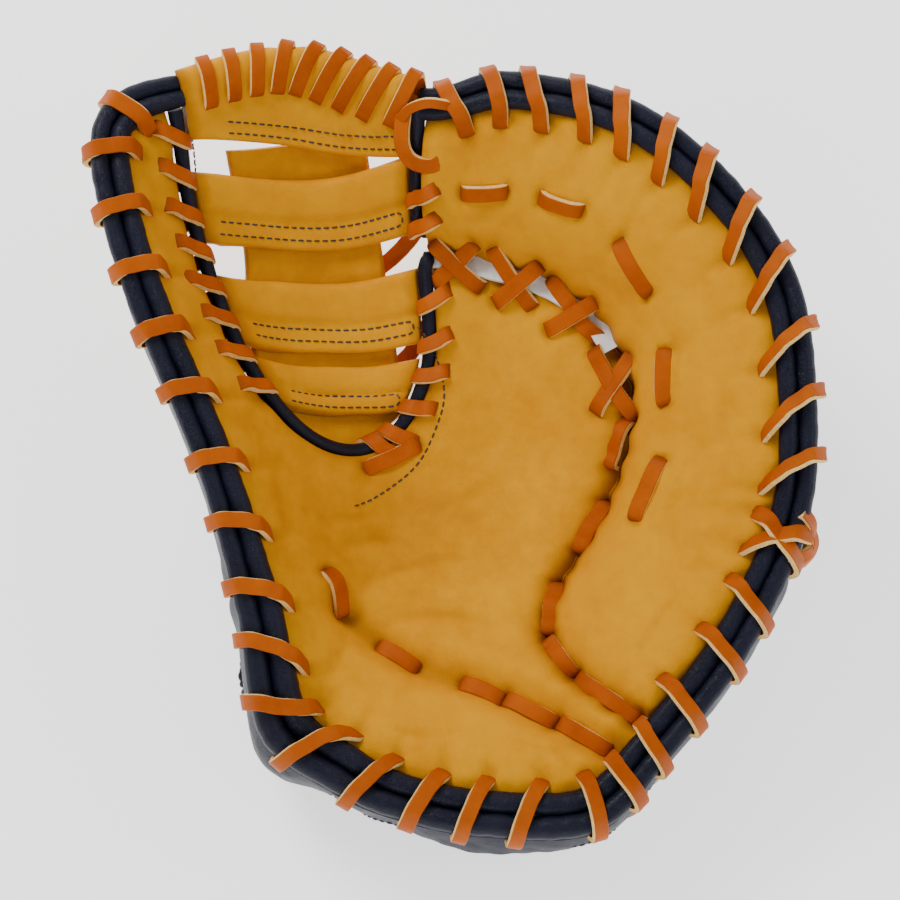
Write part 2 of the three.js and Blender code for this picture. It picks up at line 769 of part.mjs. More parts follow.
function webBar(bar) {
  const middleX = CROTCH_X + WEB_WIDTH * WEB_MIDDLE_ACROSS;
  const middleY = CROTCH_Y + WEB_DEPTH * bar.along;
  const reach = WEB_WIDTH;
  const half = (WEB_DEPTH * bar.width) / 2;
  const strip = [
    { x: middleX - reach, y: middleY - BAR_TILT * reach - half },
    { x: middleX + reach, y: middleY + BAR_TILT * reach - half },
    { x: middleX + reach, y: middleY + BAR_TILT * reach + half },
    { x: middleX - reach, y: middleY - BAR_TILT * reach + half },
  ];
  return sheetOfWeb.intersect(prism(strip)).intersect(insideU);
}

function bandStrip(gap) {
  const web = rim.filter((p) => p.station >= LAST_RIM_STATION && p.station <= RIM.length);
  const wide = offsetPoints(web, -gap);
  const top = wide.map((p) => ({ x: p.x - p.nx * BAND_WIDTH, y: p.y - p.ny * BAND_WIDTH }));
  const low = wide.map((p) => ({ x: p.x + p.nx * BAND_WIDTH, y: p.y + p.ny * BAND_WIDTH }));
  return [...top, ...low.reverse()];
}

function webPost() {
  const low = { x: CROTCH_X, y: CROTCH_Y };
  const high = { x: CROTCH_X + WEB_WIDTH * POST_LEAN, y: CROTCH_Y + WEB_DEPTH * POST_REACH };
  const length = Math.hypot(high.x - low.x, high.y - low.y);
  const sideX = ((high.y - low.y) / length) * (POST_WIDTH / 2);
  const sideY = (-(high.x - low.x) / length) * (POST_WIDTH / 2);
  const strip = [
    { x: low.x - sideX, y: low.y - sideY },
    { x: low.x + sideX, y: low.y + sideY },
    { x: high.x + sideX, y: high.y + sideY },
    { x: high.x - sideX, y: high.y - sideY },
  ];
  return sheetOfPost.intersect(prism(strip)).intersect(insideU);
}

function bandLace() {
  const web = withLengths(rim.filter((p) => p.station > LAST_RIM_STATION + 0.15).map((p) => ({ ...p })));
  const total = web[web.length - 1].run;
  const count = Math.round(total / BAND_LACE_PITCH);
  const under = -BAND_DROP - BAND_THICKNESS - LACE_LIFT;
  const places = [];
  for (let i = 0; i < count; i += 1) {
    const start = (total * (i + 0.3)) / count;
    const put = (along, inset, rise) => {
      const p = atLength(web, start + along);
      const at = palmPlace(p.x + p.nx * inset, p.y + p.ny * inset, rise);
      places.push({ at, side: new THREE.Vector3(p.tx, p.ty, 0) });
    };
    put(0, BAND_LACE_INSET, under);
    put(0, BAND_LACE_INSET, LACE_LIFT);
    put(BAND_LACE_SKEW, BAND_LACE_EDGE, LACE_LIFT);
    put(BAND_LACE_SKEW * 1.25, BAND_LACE_EDGE, under);
  }
  return places;
}

// The golden palm leather, cut by its seam and by the U

function palmThickness(x, y, share) {
  const edge = lookUp(goldenPolar, Math.atan2(y - POCKET_Y, x - POCKET_X)).radius * (1 - share);
  const near = Math.min(edge, Math.max(webDistance(x, y) - WEB_ROLL, 0));
  return EDGE_LEATHER + (PALM_PAD - EDGE_LEATHER) * smoothStep(near / PAD_TAPER);
}

function seamCut() {
  const last = seam[seam.length - 1];
  const first = seam[0];
  const side = (sign) => seam.map((p) => ({
    x: p.x + (sign * p.nx * SEAM_GAP) / 2,
    y: p.y + (sign * p.ny * SEAM_GAP) / 2,
  }));
  const ahead = { x: last.x + last.tx * CUT_PAST, y: last.y + last.ty * CUT_PAST };
  const behind = { x: first.x - first.tx * CUT_PAST, y: first.y - first.ty * CUT_PAST };
  return prism([behind, ...side(1), ahead, ...side(-1).reverse()]);
}

// A rounded valley pressed into the leather along a crease.
function creaseCut(crease) {
  const frames = crease.map((p) => {
    const up = surfaceNormal(palmHeight, p.x, p.y);
    const across = new THREE.Vector3(p.nx, p.ny, 0);
    across.addScaledVector(up, -across.dot(up)).normalize();
    return { at: new THREE.Vector3(p.x, p.y, palmHeight(p.x, p.y)), side: across, up };
  });
  const half = CREASE_WIDTH / 2;
  const section = [
    { x: -half, y: CREASE_DEPTH },
    { x: 0, y: -CREASE_DEPTH },
    { x: half, y: CREASE_DEPTH },
  ];
  return sweep(frames, section, false);
}

// The back, the strap and the wrist opening

function wristPrism() {
  const shape = new THREE.Shape();
  const radius = WRIST_HEIGHT / 2;
  const half = WRIST_WIDTH / 2 - radius;
  shape.moveTo(-half, 0);
  shape.lineTo(half, 0);
  shape.absarc(half, radius, radius, -Math.PI / 2, Math.PI / 2, false);
  shape.lineTo(-half, WRIST_HEIGHT);
  shape.absarc(-half, radius, radius, Math.PI / 2, Math.PI * 1.5, false);
  const depth = STRAP_WIDTH + CUT_PAST * 2;
  const geometry = new THREE.ExtrudeGeometry(shape, { depth, bevelEnabled: false, curveSegments: 5 });
  geometry.rotateX(Math.PI / 2);
  geometry.translate(0, STRAP_WIDTH + CUT_PAST / 2, WRIST_LIP);
  return toSolid(geometry);
}

function ovalPoints(halfWidth, halfLength) {
  return Array.from({ length: OVAL_STEPS }, (_, k) => {
    const angle = (2 * Math.PI * k) / OVAL_STEPS;
    return { x: OPENING_X + halfWidth * Math.cos(angle), y: OPENING_Y + halfLength * Math.sin(angle) };
  });
}

function openingBinding() {
  const frames = ovalPoints(OPENING_WIDTH / 2, OPENING_LENGTH / 2).map((p, i) => {
    const angle = (2 * Math.PI * i) / OVAL_STEPS;
    const out = new THREE.Vector3(
      Math.cos(angle) * OPENING_LENGTH,
      Math.sin(angle) * OPENING_WIDTH,
      0,
    ).normalize();
    return { at: new THREE.Vector3(p.x, p.y, BINDING_RADIUS), side: out, up: new THREE.Vector3(0, 0, 1) };
  });
  return sweep(frames, roundSection(BINDING_RADIUS - CLEARANCE / 2), true);
}

function crescentRegion(grow) {
  const total = webEdge[webEdge.length - 1].run;
  const width = (p) => {
    const base = Math.sin((Math.PI * p.run) / total) ** 2;
    return CRESCENT_SIDE + (CRESCENT_BASE - CRESCENT_SIDE) * base + grow;
  };
  return offsetPoints(webEdge, width).map((p) => ({ x: p.x, y: p.y }));
}

const strapHalf = STRAP_LENGTH / 2;
const liningFoot = WRIST_LIP + WRIST_HEIGHT - LINING_DROP;

function strapBlock(grow) {
  return block(
    new THREE.Vector3(-strapHalf - grow, -CUT_PAST, CUT_BOTTOM),
    new THREE.Vector3(strapHalf + grow, STRAP_WIDTH + grow, liningFoot + grow),
  );
}

function liningBlock(grow) {
  return block(
    new THREE.Vector3(-strapHalf - grow, -CUT_PAST, liningFoot + CLEARANCE - grow),
    new THREE.Vector3(strapHalf + grow, STRAP_WIDTH + grow, CUT_TOP),
  );
}

const webRun = webEdge[webEdge.length - 1].run;
const routes = {};
for (const lace of RIM_LACES) routes[lace.name] = rimLace(rimRun * lace.from, rimRun * lace.to);
for (const lace of WEB_LACES) routes[lace.name] = webLace(webRun * lace.from, webRun * lace.to);
routes.band_lace = bandLace();

const parts = {};
const uCut = prism(webRegion(-WEB_ROLL));
const wrist = wristPrism();
const bowl = backBowl().subtract(uCut);
const gap = CLEARANCE;
const bindingRoom = BINDING_RADIUS + gap / 2;

parts.back_crescent = bowl.intersect(prism(crescentRegion(0)));
parts.wrist_strap = bowl.intersect(strapBlock(0)).subtract(wrist);
parts.heel_lining = bowl.intersect(liningBlock(0)).subtract(wrist);
parts.back_shell = bowl
  .subtract(prism(crescentRegion(gap)))
  .subtract(strapBlock(gap))
  .subtract(liningBlock(gap))
  .subtract(wrist)
  .subtract(prism(ovalPoints(OPENING_WIDTH / 2 + bindingRoom, OPENING_LENGTH / 2 + bindingRoom)));
parts.opening_binding = openingBinding();

const palm = palmSheet(0, palmThickness, 0)
  .subtract(creaseCut(seam.slice(1, -1)))
  .subtract(creaseCut(heelCrease.slice(1, -1)))
  .subtract(uCut)
  .subtract(seamCut());
const palmPieces = palm.decompose().sort((a, b) => b.volume() - a.volume());
[parts.palm_leather, parts.finger_crescent] = palmPieces;

parts.rim_roll_outer = rimRoll(0.25);
parts.rim_roll_inner = rimRoll(0.75);
parts.web_edge_roll = webRoll();

parts.web_band = sheetOfBand.intersect(prism(bandStrip(0)));
const bandRoom = prism(bandStrip(gap));
for (const bar of BARS) parts[bar.name] = webBar(bar).subtract(bandRoom);
parts.web_post = webPost();

// Every piece gets holes and grooves where a lace passes through or presses into it.
function makeRoom(names, route) {
  for (const stretch of laceStretches(route)) {
    for (const name of names) {
      const meets = parts[name].intersect(stretch.strip).volume() > 1e-6;
      if (meets) parts[name] = parts[name].subtract(stretch.room);
    }
  }
}

const laced = Object.keys(parts);
for (const route of Object.values(routes)) makeRoom(laced, route);
for (const [name, route] of Object.entries(routes)) parts[name] = laceSolid(route);

// The finished group

const finish = (name) => {
  if (name.includes('lace') && !name.startsWith('web_edge')) return leather.lace;
  if (/^(palm|finger|web_ba|web_post|back_crescent)/.test(name)) return leather.golden;
  return leather.navy;
};

const mitt = new THREE.Group();
for (const [name, solid] of Object.entries(parts)) {
  const pieces = solid.simplify(SMALLEST_EDGE).decompose().sort((a, b) => b.volume() - a.volume());
  const shape = pieces[0].getMesh();
  const geometry = new THREE.BufferGeometry();
  geometry.setAttribute('position', new THREE.BufferAttribute(shape.vertProperties, shape.numProp));
  geometry.setIndex(new THREE.BufferAttribute(shape.triVerts, 1));
  const mesh = new THREE.Mesh(geometry, finish(name));
  mesh.name = name;
  mitt.add(mesh);
}
const box = new THREE.Box3().setFromObject(mitt);
mitt.position.set(-(box.min.x + box.max.x) / 2, -(box.min.y + box.max.y) / 2, -box.min.z);

export default mitt;
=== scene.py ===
# %% [markdown]
# # A first baseman mitt
# The mitt lies on its back with the palm up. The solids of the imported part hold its
# sizes, and this lesson dresses them: padded leather, rolls, laces, stitches and their
# finishes. The frame is loaded first, so that everything is placed by it.

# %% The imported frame
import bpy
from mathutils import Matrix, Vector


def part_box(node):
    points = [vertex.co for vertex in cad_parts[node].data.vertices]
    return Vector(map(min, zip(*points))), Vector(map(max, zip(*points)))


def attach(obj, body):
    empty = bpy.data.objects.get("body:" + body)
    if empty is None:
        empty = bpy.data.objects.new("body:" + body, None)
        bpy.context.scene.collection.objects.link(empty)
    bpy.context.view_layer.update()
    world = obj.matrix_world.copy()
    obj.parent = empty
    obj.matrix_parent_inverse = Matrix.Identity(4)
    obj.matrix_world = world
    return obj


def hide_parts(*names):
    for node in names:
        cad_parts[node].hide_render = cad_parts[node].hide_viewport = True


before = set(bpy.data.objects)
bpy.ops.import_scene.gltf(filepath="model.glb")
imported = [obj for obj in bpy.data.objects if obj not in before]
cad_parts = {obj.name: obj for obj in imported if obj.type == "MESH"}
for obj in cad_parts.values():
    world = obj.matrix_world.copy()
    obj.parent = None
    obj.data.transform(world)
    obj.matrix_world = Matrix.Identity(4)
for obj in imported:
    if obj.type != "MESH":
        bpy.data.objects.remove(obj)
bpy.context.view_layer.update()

# %% [markdown]
# ## Sizes
# A maker works from one set of sizes. These are the sizes of the solids, in millimetres
# on the maker's bench, where the wrist is at the bottom. Blender works in metres, so
# make_piece moves each piece from the bench into the frame.

# %% Sizes of the mitt
import math

import bmesh
import bpy
import numpy as np
from mathutils import Vector
from mathutils.geometry import delaunay_2d_cdt

MM = 0.001
MITT_WIDTH, MITT_LENGTH, RIM_HEIGHT, RIM_BAND = 264.0, 285.0, 122.0, 14.0
POCKET_X, POCKET_Y, POCKET_FLOOR, POCKET_CURVE = -30.0, 140.0, 32.0, 1.8
EDGE_LEATHER, PALM_PAD, PAD_TAPER, EDGE_DROP = 2.6, 8.0, 14.0, 3.0
CROTCH_X, CROTCH_Y, WEB_WIDTH, WEB_DEPTH = -54.0, 154.0, 88.0, 100.0
WEB_ROLL, WEB_THICKNESS, BACK_BLEND, SHELL_WALL = 5.0, 11.5, 24.0, 3.0
BAND_WIDTH, BAND_THICKNESS, BAND_DROP = 23.0, 5.0, 0.8
BAR_THICKNESS, BAR_DROP = 4.5, 1.5
POST_WIDTH, POST_THICKNESS, POST_LEAN, POST_REACH = 44.0, 3.5, -0.22, 1.02
WEB_MIDDLE_ACROSS, CLEARANCE = -0.18, 0.4
STRAP_WIDTH, STRAP_LENGTH, LINING_DROP = 47.0, 116.0, 3.0
WRIST_WIDTH, WRIST_HEIGHT, WRIST_LIP = 92.0, 27.0, 4.5
CRESCENT_SIDE, CRESCENT_BASE, BELLY_GAIN = 26.0, 48.0, 2.6
OPENING_X, OPENING_Y, OPENING_WIDTH, OPENING_LENGTH = -6.0, 81.0, 88.0, 44.0
BINDING_RADIUS = 3.0
LACE_WIDTH, LACE_THICKNESS = 6.0, 1.9
TURN = 2 * math.pi

low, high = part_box("opening_binding")
SHIFT = np.array([(low.x + high.x) / 2 / MM - OPENING_X, (low.y + high.y) / 2 / MM - OPENING_Y, 0])
print("bench to frame, mm:", np.round(SHIFT, 2))

# %% [markdown]
# ## The lines of the pattern
# A mitt is cut from flat patterns, and its form comes from a few lines: the rim, the U
# that the web fills, the seam between palm and finger crescent, and the crease across
# the heel. Each is a short table of shares of the sizes above.

# %% Tables of the lines
# across, along, up, band, foot, belly; clockwise from the finger side of the web
RIM = np.array([
    (-0.095, 0.947, 0.885, 0.85, 0.30, 0.0), (0.023, 0.960, 0.951, 1.0, 0.34, 0.0),
    (0.188, 0.916, 1.0, 1.0, 0.36, 0.1), (0.324, 0.819, 0.984, 1.0, 0.36, 0.2),
    (0.422, 0.682, 0.918, 1.0, 0.36, 0.3), (0.447, 0.505, 0.820, 1.0, 0.38, 0.3),
    (0.430, 0.372, 0.713, 1.0, 0.42, 0.3), (0.354, 0.230, 0.582, 1.05, 0.50, 0.3),
    (0.248, 0.105, 0.475, 1.1, 0.62, 0.2), (0.148, 0.014, 0.426, 1.2, 0.80, 0.2),
    (-0.010, 0.008, 0.418, 1.2, 0.84, 0.4), (-0.136, 0.032, 0.426, 1.2, 0.80, 0.1),
    (-0.223, 0.067, 0.443, 1.3, 0.68, 0.1), (-0.318, 0.133, 0.492, 1.4, 0.60, 0.6),
    (-0.350, 0.284, 0.623, 1.15, 0.52, 0.4), (-0.405, 0.456, 0.770, 1.0, 0.46, 0.2),
    (-0.504, 0.670, 0.885, 1.0, 0.40, 0.1), (-0.553, 0.846, 0.934, 1.0, 0.34, 0.0),
    (-0.525, 0.930, 0.920, 1.0, 0.30, 0.0), (-0.436, 0.968, 0.869, 0.85, 0.30, 0.0),
    (-0.273, 0.980, 0.810, 0.2, 0.30, 0.0),
])
WEB_EDGE = np.array([
    (0.31, 1.30), (0.28, 1.02), (0.28, 0.76), (0.32, 0.52), (0.32, 0.29), (0.20, 0.09), (0.0, 0.0),
    (-0.19, 0.05), (-0.38, 0.24), (-0.52, 0.50), (-0.62, 0.78), (-0.67, 1.05), (-0.74, 1.32),
])
SEAM = np.array([
    (-0.16, 0.772), (-0.031, 0.752), (0.086, 0.713), (0.157, 0.649), (0.187, 0.565), (0.155, 0.452),
    (0.094, 0.355), (0.076, 0.285), (0.115, 0.223), (0.20, 0.158), (0.30, 0.09),
])
HEEL_CREASE = np.array([
    (-0.224, 0.346), (-0.197, 0.308), (-0.101, 0.242), (0.018, 0.199), (0.159, 0.122), (0.26, 0.06),
])
print("rows: rim", len(RIM), "U", len(WEB_EDGE), "seam", len(SEAM), "crease", len(HEEL_CREASE))

# %% [markdown]
# ## Smooth curves
# A smooth curve goes through every row of a table. Blender's own curves could do this, but
# laces, stitches and relief all ask a line the same things: the place at a run along it,
# and how far away a point is. So a line is a small class of its own.


# %% Curves, and lines that know their length
def smooth(rows, steps, closed=False):
    """A curve through every row, steps points from each row to the next."""
    rows = np.asarray(rows, float)
    count = len(rows)
    t = (np.arange(steps) / steps)[:, None]
    weights = 0.5 * np.hstack([-t + 2 * t**2 - t**3, 2 - 5 * t**2 + 3 * t**3,
                               t + 4 * t**2 - 3 * t**3, -t**2 + t**3])
    out = []
    for i in range(count if closed else count - 1):
        near = [(i + k) % count if closed else min(max(i + k, 0), count - 1) for k in (-1, 0, 1, 2)]
        out.append(weights @ rows[near])
    if not closed:
        out.append(rows[-1:])
    return np.vstack(out)


def read_rows(marks, run, table):
    """The rows of a table at marks along its run."""
    return np.array([np.interp(marks, run, column) for column in table.T]).T


class Line:
    """A curve seen from above, which knows its length and which side of it is inside."""

    def __init__(self, points, inside, closed=False):
        self.points = np.asarray(points, float)
        self.closed = closed
        xy = self.points[:, :2]
        ends = np.vstack([xy, xy[:1]]) if closed else xy
        self.steps = np.hypot(*np.diff(ends, axis=0).T)
        self.run = np.r_[0, np.cumsum(self.steps)]
        self.length = self.run[-1]
        ahead = np.roll(xy, -1, 0) - np.roll(xy, 1, 0)
        if not closed:
            ahead[0], ahead[-1] = xy[1] - xy[0], xy[-1] - xy[-2]
        self.tangent = ahead / np.linalg.norm(ahead, axis=1)[:, None]
        self.normal = np.c_[-self.tangent[:, 1], self.tangent[:, 0]]
        if ((np.array(inside) - xy) * self.normal).sum() < 0:
            self.normal = -self.normal

    def at(self, run, inset=0.0):
        """Values of the curve at a run along it, moved inwards by inset."""
        run = np.atleast_1d(np.asarray(run, float))
        if self.closed:
            run = run % self.length
        table = np.hstack([self.points, self.tangent, self.normal])
        if self.closed:
            table = np.vstack([table, table[:1]])
        got = read_rows(run, self.run, table)
        got[:, :2] += got[:, -2:] * np.broadcast_to(np.asarray(inset, float), run.shape)[:, None]
        return got

    def near(self, xy):
        """Distance from each point to the curve, the run of the nearest place, and the side."""
        a = self.points[:, :2]
        b = np.roll(a, -1, 0)
        if not self.closed:
            a, b = a[:-1], b[:-1]
        d = b - a
        size = (d**2).sum(1)
        far, runs, side = [], [], []
        for part in np.array_split(np.atleast_2d(xy), max(1, len(xy) // 4000)):
            rel = part[:, None] - a[None]
            t = np.clip((rel * d).sum(2) / size, 0, 1)
            off = rel - t[..., None] * d
            gap = (off**2).sum(2)
            best = gap.argmin(1)
            row = np.arange(len(part))
            far.append(np.sqrt(gap[row, best]))
            runs.append(self.run[best] + t[row, best] * np.sqrt(size[best]))
            side.append(np.sign((off[row, best] * self.normal[best]).sum(1)))
        return np.concatenate(far), np.concatenate(runs), np.concatenate(side)


def within(loop, xy):
    """True for each point inside a closed outline."""
    xy = np.atleast_2d(xy)
    inside = np.zeros(len(xy), bool)
    for a, b in zip(loop, np.roll(loop, -1, 0)):
        crosses = (a[1] > xy[:, 1]) != (b[1] > xy[:, 1])
        slope = (b[0] - a[0]) / (b[1] - a[1]) if b[1] != a[1] else 0.0
        inside ^= crosses & (xy[:, 0] < a[0] + (xy[:, 1] - a[1]) * slope)
    return inside


def blend(value):
    """An even change from 0 to 1 while the value goes from 0 to 1."""
    t = np.clip(value, 0, 1)
    return t * t * (3 - 2 * t)


def hump(distance, width):
    """1 at a distance of 0, and close to 0 at twice the width."""
    return np.exp(-((distance / width) ** 2))


RIM_STEPS = 16
POCKET = (POCKET_X, POCKET_Y)
scale = np.array([MITT_WIDTH, MITT_LENGTH])
rim = Line(smooth(RIM * [MITT_WIDTH, MITT_LENGTH, RIM_HEIGHT, RIM_BAND, 1, RIM_BAND], RIM_STEPS, True), POCKET, True)
web_middle = (CROTCH_X + WEB_WIDTH * WEB_MIDDLE_ACROSS, CROTCH_Y + WEB_DEPTH / 2)
web = Line(smooth(WEB_EDGE * [WEB_WIDTH, WEB_DEPTH], 8) + [CROTCH_X, CROTCH_Y], web_middle)
seam = Line(smooth(SEAM * scale, 10), POCKET)
crease = Line(smooth(HEEL_CREASE * scale, 10), POCKET)
WEB_SIDE = (len(RIM) - 2) * RIM_STEPS
rim_run = rim.run[WEB_SIDE]
print("rim", round(rim_run), "mm, U", round(web.length), "mm, seam", round(seam.length), "mm")

# %% [markdown]
# ## The form of the pocket
# The pocket is a bowl that a ball has pressed into the leather. Its height is known above
# every point of the bench: low in the middle and rising to the rim. Being a function, it
# serves the palm, the web that carries on its surface, and every lace and stitch on it.


# %% Heights over the bench
def polar(xy):
    """The angle and the distance of places from the pocket's middle."""
    d = np.atleast_2d(np.asarray(xy, float)) - POCKET
    return np.arctan2(d[:, 1], d[:, 0]), np.hypot(*d.T)


def from_polar(angle, far):
    return POCKET + np.reshape(far, (-1, 1)) * np.c_[np.cos(angle), np.sin(angle)]


def read(angle, angles, values):
    return np.interp(angle, angles, values, period=TURN)


band_edge = rim.points[:, :2] + rim.normal * rim.points[:, 3:4]
EDGE_ANGLE, EDGE_RADIUS = polar(band_edge)
EDGE_Z = rim.points[:, 2] - EDGE_DROP
RIM_ANGLE, RIM_RADIUS = polar(rim.points[:, :2])
RIM_Z, RIM_ROLLS, RIM_FOOT, RIM_BELLY = rim.points[:, 2:6].T


def pocket_height(xy):
    angle, far = polar(xy)
    share = far / read(angle, EDGE_ANGLE, EDGE_RADIUS)
    edge = read(angle, EDGE_ANGLE, EDGE_Z)
    return POCKET_FLOOR + (edge - POCKET_FLOOR) * share**POCKET_CURVE


def pocket_normal(xy):
    xy = np.atleast_2d(xy)
    slope = [(pocket_height(xy + step) - pocket_height(xy - step)) / 2 for step in ([1, 0], [0, 1])]
    n = np.c_[-slope[0], -slope[1], np.ones(len(xy))]
    return n / np.linalg.norm(n, axis=1)[:, None]


def on_pocket(xy, lift=0.0):
    """Points over the bench, lifted off the pocket's surface along its normal."""
    xy = np.atleast_2d(np.asarray(xy, float))
    base = np.c_[xy, pocket_height(xy)]
    return base + pocket_normal(xy) * np.broadcast_to(np.asarray(lift, float), len(xy))[:, None]


def web_distance(xy):
    far, _, _ = web.near(xy)
    return np.where(within(web.points, xy), -far, far)


def hills(xy, size, seed, count=5):
    """Slow, soft unevenness from -1 to 1, the same each run."""
    chance = np.random.default_rng(seed)
    total = np.zeros(len(xy))
    for _ in range(count):
        heading = chance.uniform(0, TURN)
        wave = TURN / (size * chance.uniform(0.7, 1.5))
        total += np.sin((xy @ [math.cos(heading), math.sin(heading)]) * wave + chance.uniform(0, TURN))
    return total / count


print("pocket floor", round(float(pocket_height(POCKET)[0]), 1), "mm")

# %% [markdown]
# ## Shader maths
# Leather looks like leather because its colour, gloss and grain vary together. Sums of
# node values are easier to read as Python, so a small class wraps one socket and turns
# plus, minus and times into nodes. Every other node comes from one method.


# %% A socket with sums, and a finish
class Wire:
    def __init__(self, finish, socket):
        self.finish, self.socket = finish, socket

    def sum(self, operation, first, second):
        return self.finish.node("ShaderNodeMath", {"operation": operation}, {0: first, 1: second})

    def __add__(self, other):
        return self.sum("ADD", self, other)

    def __radd__(self, other):
        return self.sum("ADD", other, self)

    def __sub__(self, other):
        return self.sum("SUBTRACT", self, other)

    def __rsub__(self, other):
        return self.sum("SUBTRACT", other, self)

    def __mul__(self, other):
        return self.sum("MULTIPLY", self, other)

    def __rmul__(self, other):
        return self.sum("MULTIPLY", other, self)

    def __pow__(self, other):
        return self.sum("POWER", self, other)


print("a wire can be added, taken away, multiplied and raised to a power")

# %% [markdown]
# ## A finish
# A finish is one material: a Principled shader with noises mixed into its colour, its
# gloss and its height. All patterns are read from object coordinates, in metres, so no
# unwrapping is needed and the grain has its real size on every piece.


# %% A finish and its nodes
class Finish:
    def __init__(self, name):
        self.material = bpy.data.materials.new(name)
        self.material.use_nodes = True
        self.tree = self.material.node_tree
        self.tree.nodes.clear()
        self.place = self.node("ShaderNodeTexCoord", {}, {}, "Object")

    def node(self, kind, settings, sockets, out=0):
        """A node with its settings, its sockets filled or wired, and one output as a wire."""
        made = self.tree.nodes.new(kind)
        for key, value in settings.items():
            setattr(made, key, value)
        for key, value in sockets.items():
            if isinstance(value, Wire):
                self.tree.links.new(value.socket, made.inputs[key])
            else:
                made.inputs[key].default_value = value
        return Wire(self, made.outputs[out])

    def noise(self, per_metre, detail=3.0, rough=0.55, distortion=0.0):
        return self.node("ShaderNodeTexNoise", {}, {"Vector": self.place, "Scale": per_metre, "Detail": detail,
                                                    "Roughness": rough, "Distortion": distortion})

    def cells(self, per_metre):
        """The distance to the nearest border in a pattern of cells."""
        return self.node("ShaderNodeTexVoronoi", {"feature": "DISTANCE_TO_EDGE"},
                         {"Vector": self.place, "Scale": per_metre})

    def mix(self, share, first, second):
        rgb = [(*c, 1) if isinstance(c, tuple) else c for c in (first, second)]
        return self.node("ShaderNodeMix", {"data_type": "RGBA", "clamp_factor": True},
                         {0: share, 6: rgb[0], 7: rgb[1]}, 2)

    def stretch(self, value, start, end):
        """The value moved so that start becomes 0 and end becomes 1."""
        return self.node("ShaderNodeMapRange", {"clamp": True}, {0: value, 1: start, 2: end})

    def done(self, colour, roughness, height, depth, **constants):
        bump = self.node("ShaderNodeBump", {}, {"Strength": 1.0, "Distance": depth, "Height": height})
        sockets = {"Base Color": colour, "Roughness": roughness, "Normal": bump, **constants}
        shader = self.node("ShaderNodeBsdfPrincipled", {}, sockets)
        output = self.tree.nodes.new("ShaderNodeOutputMaterial")
        self.tree.links.new(shader.socket, output.inputs["Surface"])
        return self.material

    def shade(self):
        """The vertex value that the meshes carry for painted shade: 0 in creases and holes, 1 in the open."""
        return self.node("ShaderNodeAttribute", {"attribute_name": "open"}, {}, "Fac")


print("a finish starts without any node:", len(bpy.data.materials), "materials so far")

# %% [markdown]
# ## The finishes
# The golden leather is dyed steer hide with a soft gloss. Shade is painted into its colour,
# darker and a little redder in creases, seams and lace holes, and the navy and the laces get
# the same painted shade. The navy leather is nearly black with a cool gloss. Laces are
# orange-brown with pale cut edges. The grain is two sizes of cells, and slow noise varies dye
# and gloss.


# %% Leather, thread and piping
def hide_finish(name, tones, gloss, grain, depth, sheen=(1.0, 1.0, 1.0), shine=0.45, coat=0.0):
    """Tones are the painted shade colour of folds and holes, the usual and the lightest colour. Sheen tints the
    gloss, since a waxed dye reflects in its own colour, and shine is how strong the gloss is."""
    f = Finish(name)
    slow = f.noise(26.0, 3.0)
    mottle = f.noise(140.0, 4.0, 0.6)
    pores = f.cells(grain)
    wrinkles = f.noise(grain * 0.35, 4.0, 0.62, 0.6)
    dye = f.mix(f.stretch(slow * 0.6 + mottle * 0.4, 0.36, 0.64), tones[1], tones[2])
    # Painted shade: the dye turns to the first tone where the open value is low, in creases, seams and holes.
    dye_and_painted_shade = f.mix(f.stretch(f.shade() + mottle * 0.25, 0.15, 1.1), tones[0], dye)
    rough = f.stretch(mottle * 0.6 + slow * 0.4, 0.3, 0.7) * 0.14 + gloss
    height = f.stretch(pores, 0.0, 0.16) * 0.55 + wrinkles * 0.75
    return f.done(dye_and_painted_shade, rough, height, depth * MM,
                  **{"Specular IOR Level": shine, "Specular Tint": (*sheen, 1), "Coat Weight": coat,
                     "Coat Roughness": 0.35})


def plain_finish(name, dark, light, gloss, per_metre, depth):
    f = Finish(name)
    fibres = f.noise(per_metre, 3.0, 0.6, 0.4)
    tone = f.mix(f.stretch(fibres, 0.3, 0.7), dark, light)
    return f.done(tone, fibres * 0.15 + gloss, fibres, depth * MM)


# The first tone of each hide is its painted shade colour.
GOLDEN = hide_finish("golden_hide", [(0.28, 0.075, 0.0), (0.66, 0.256, 0.0), (0.77, 0.338, 0.0)],
                     0.46, 1500.0, 0.10, (1.0, 0.64, 0.04), 0.24)
NAVY = hide_finish("navy_hide", [(0.001, 0.001, 0.003), (0.003, 0.0035, 0.011), (0.006, 0.007, 0.019)],
                   0.36, 1100.0, 0.16, (0.8, 0.85, 1.0), 0.22, 0.05)
LACE = hide_finish("lace_hide", [(0.12, 0.018, 0.0), (0.38, 0.060, 0.0), (0.50, 0.098, 0.001)],
                   0.44, 1300.0, 0.08, (1.0, 0.55, 0.25), 0.35)
CUT_EDGE = plain_finish("lace_cut_edge", (0.72, 0.42, 0.10), (0.92, 0.66, 0.26), 0.75, 900.0, 0.12)
GREY_EDGE = plain_finish("grey_cut_edge", (0.26, 0.22, 0.15), (0.46, 0.41, 0.31), 0.8, 800.0, 0.15)
THREAD = plain_finish("black_thread", (0.008, 0.008, 0.010), (0.03, 0.03, 0.035), 0.45, 2500.0, 0.06)
PIPING = plain_finish("white_piping", (0.62, 0.61, 0.56), (0.80, 0.79, 0.75), 0.5, 700.0, 0.06)
LINING = plain_finish("dark_lining", (0.006, 0.006, 0.010), (0.016, 0.016, 0.022), 0.75, 600.0, 0.2)
print("finishes:", len(bpy.data.materials))

# %% [markdown]
# ## From points to pieces
# A piece is gathered as points and faces. Leather sheets are laid out flat: a fine net of
# triangles fills the pattern's outline, and a function then lifts each point to its place.
# That keeps the cut lines exact and leaves the form free. A cloth simulation could pad
# the leather too, but here puffs, creases and puckers are placed where the real mitt has
# them, so they are worked in as heights over the pattern.


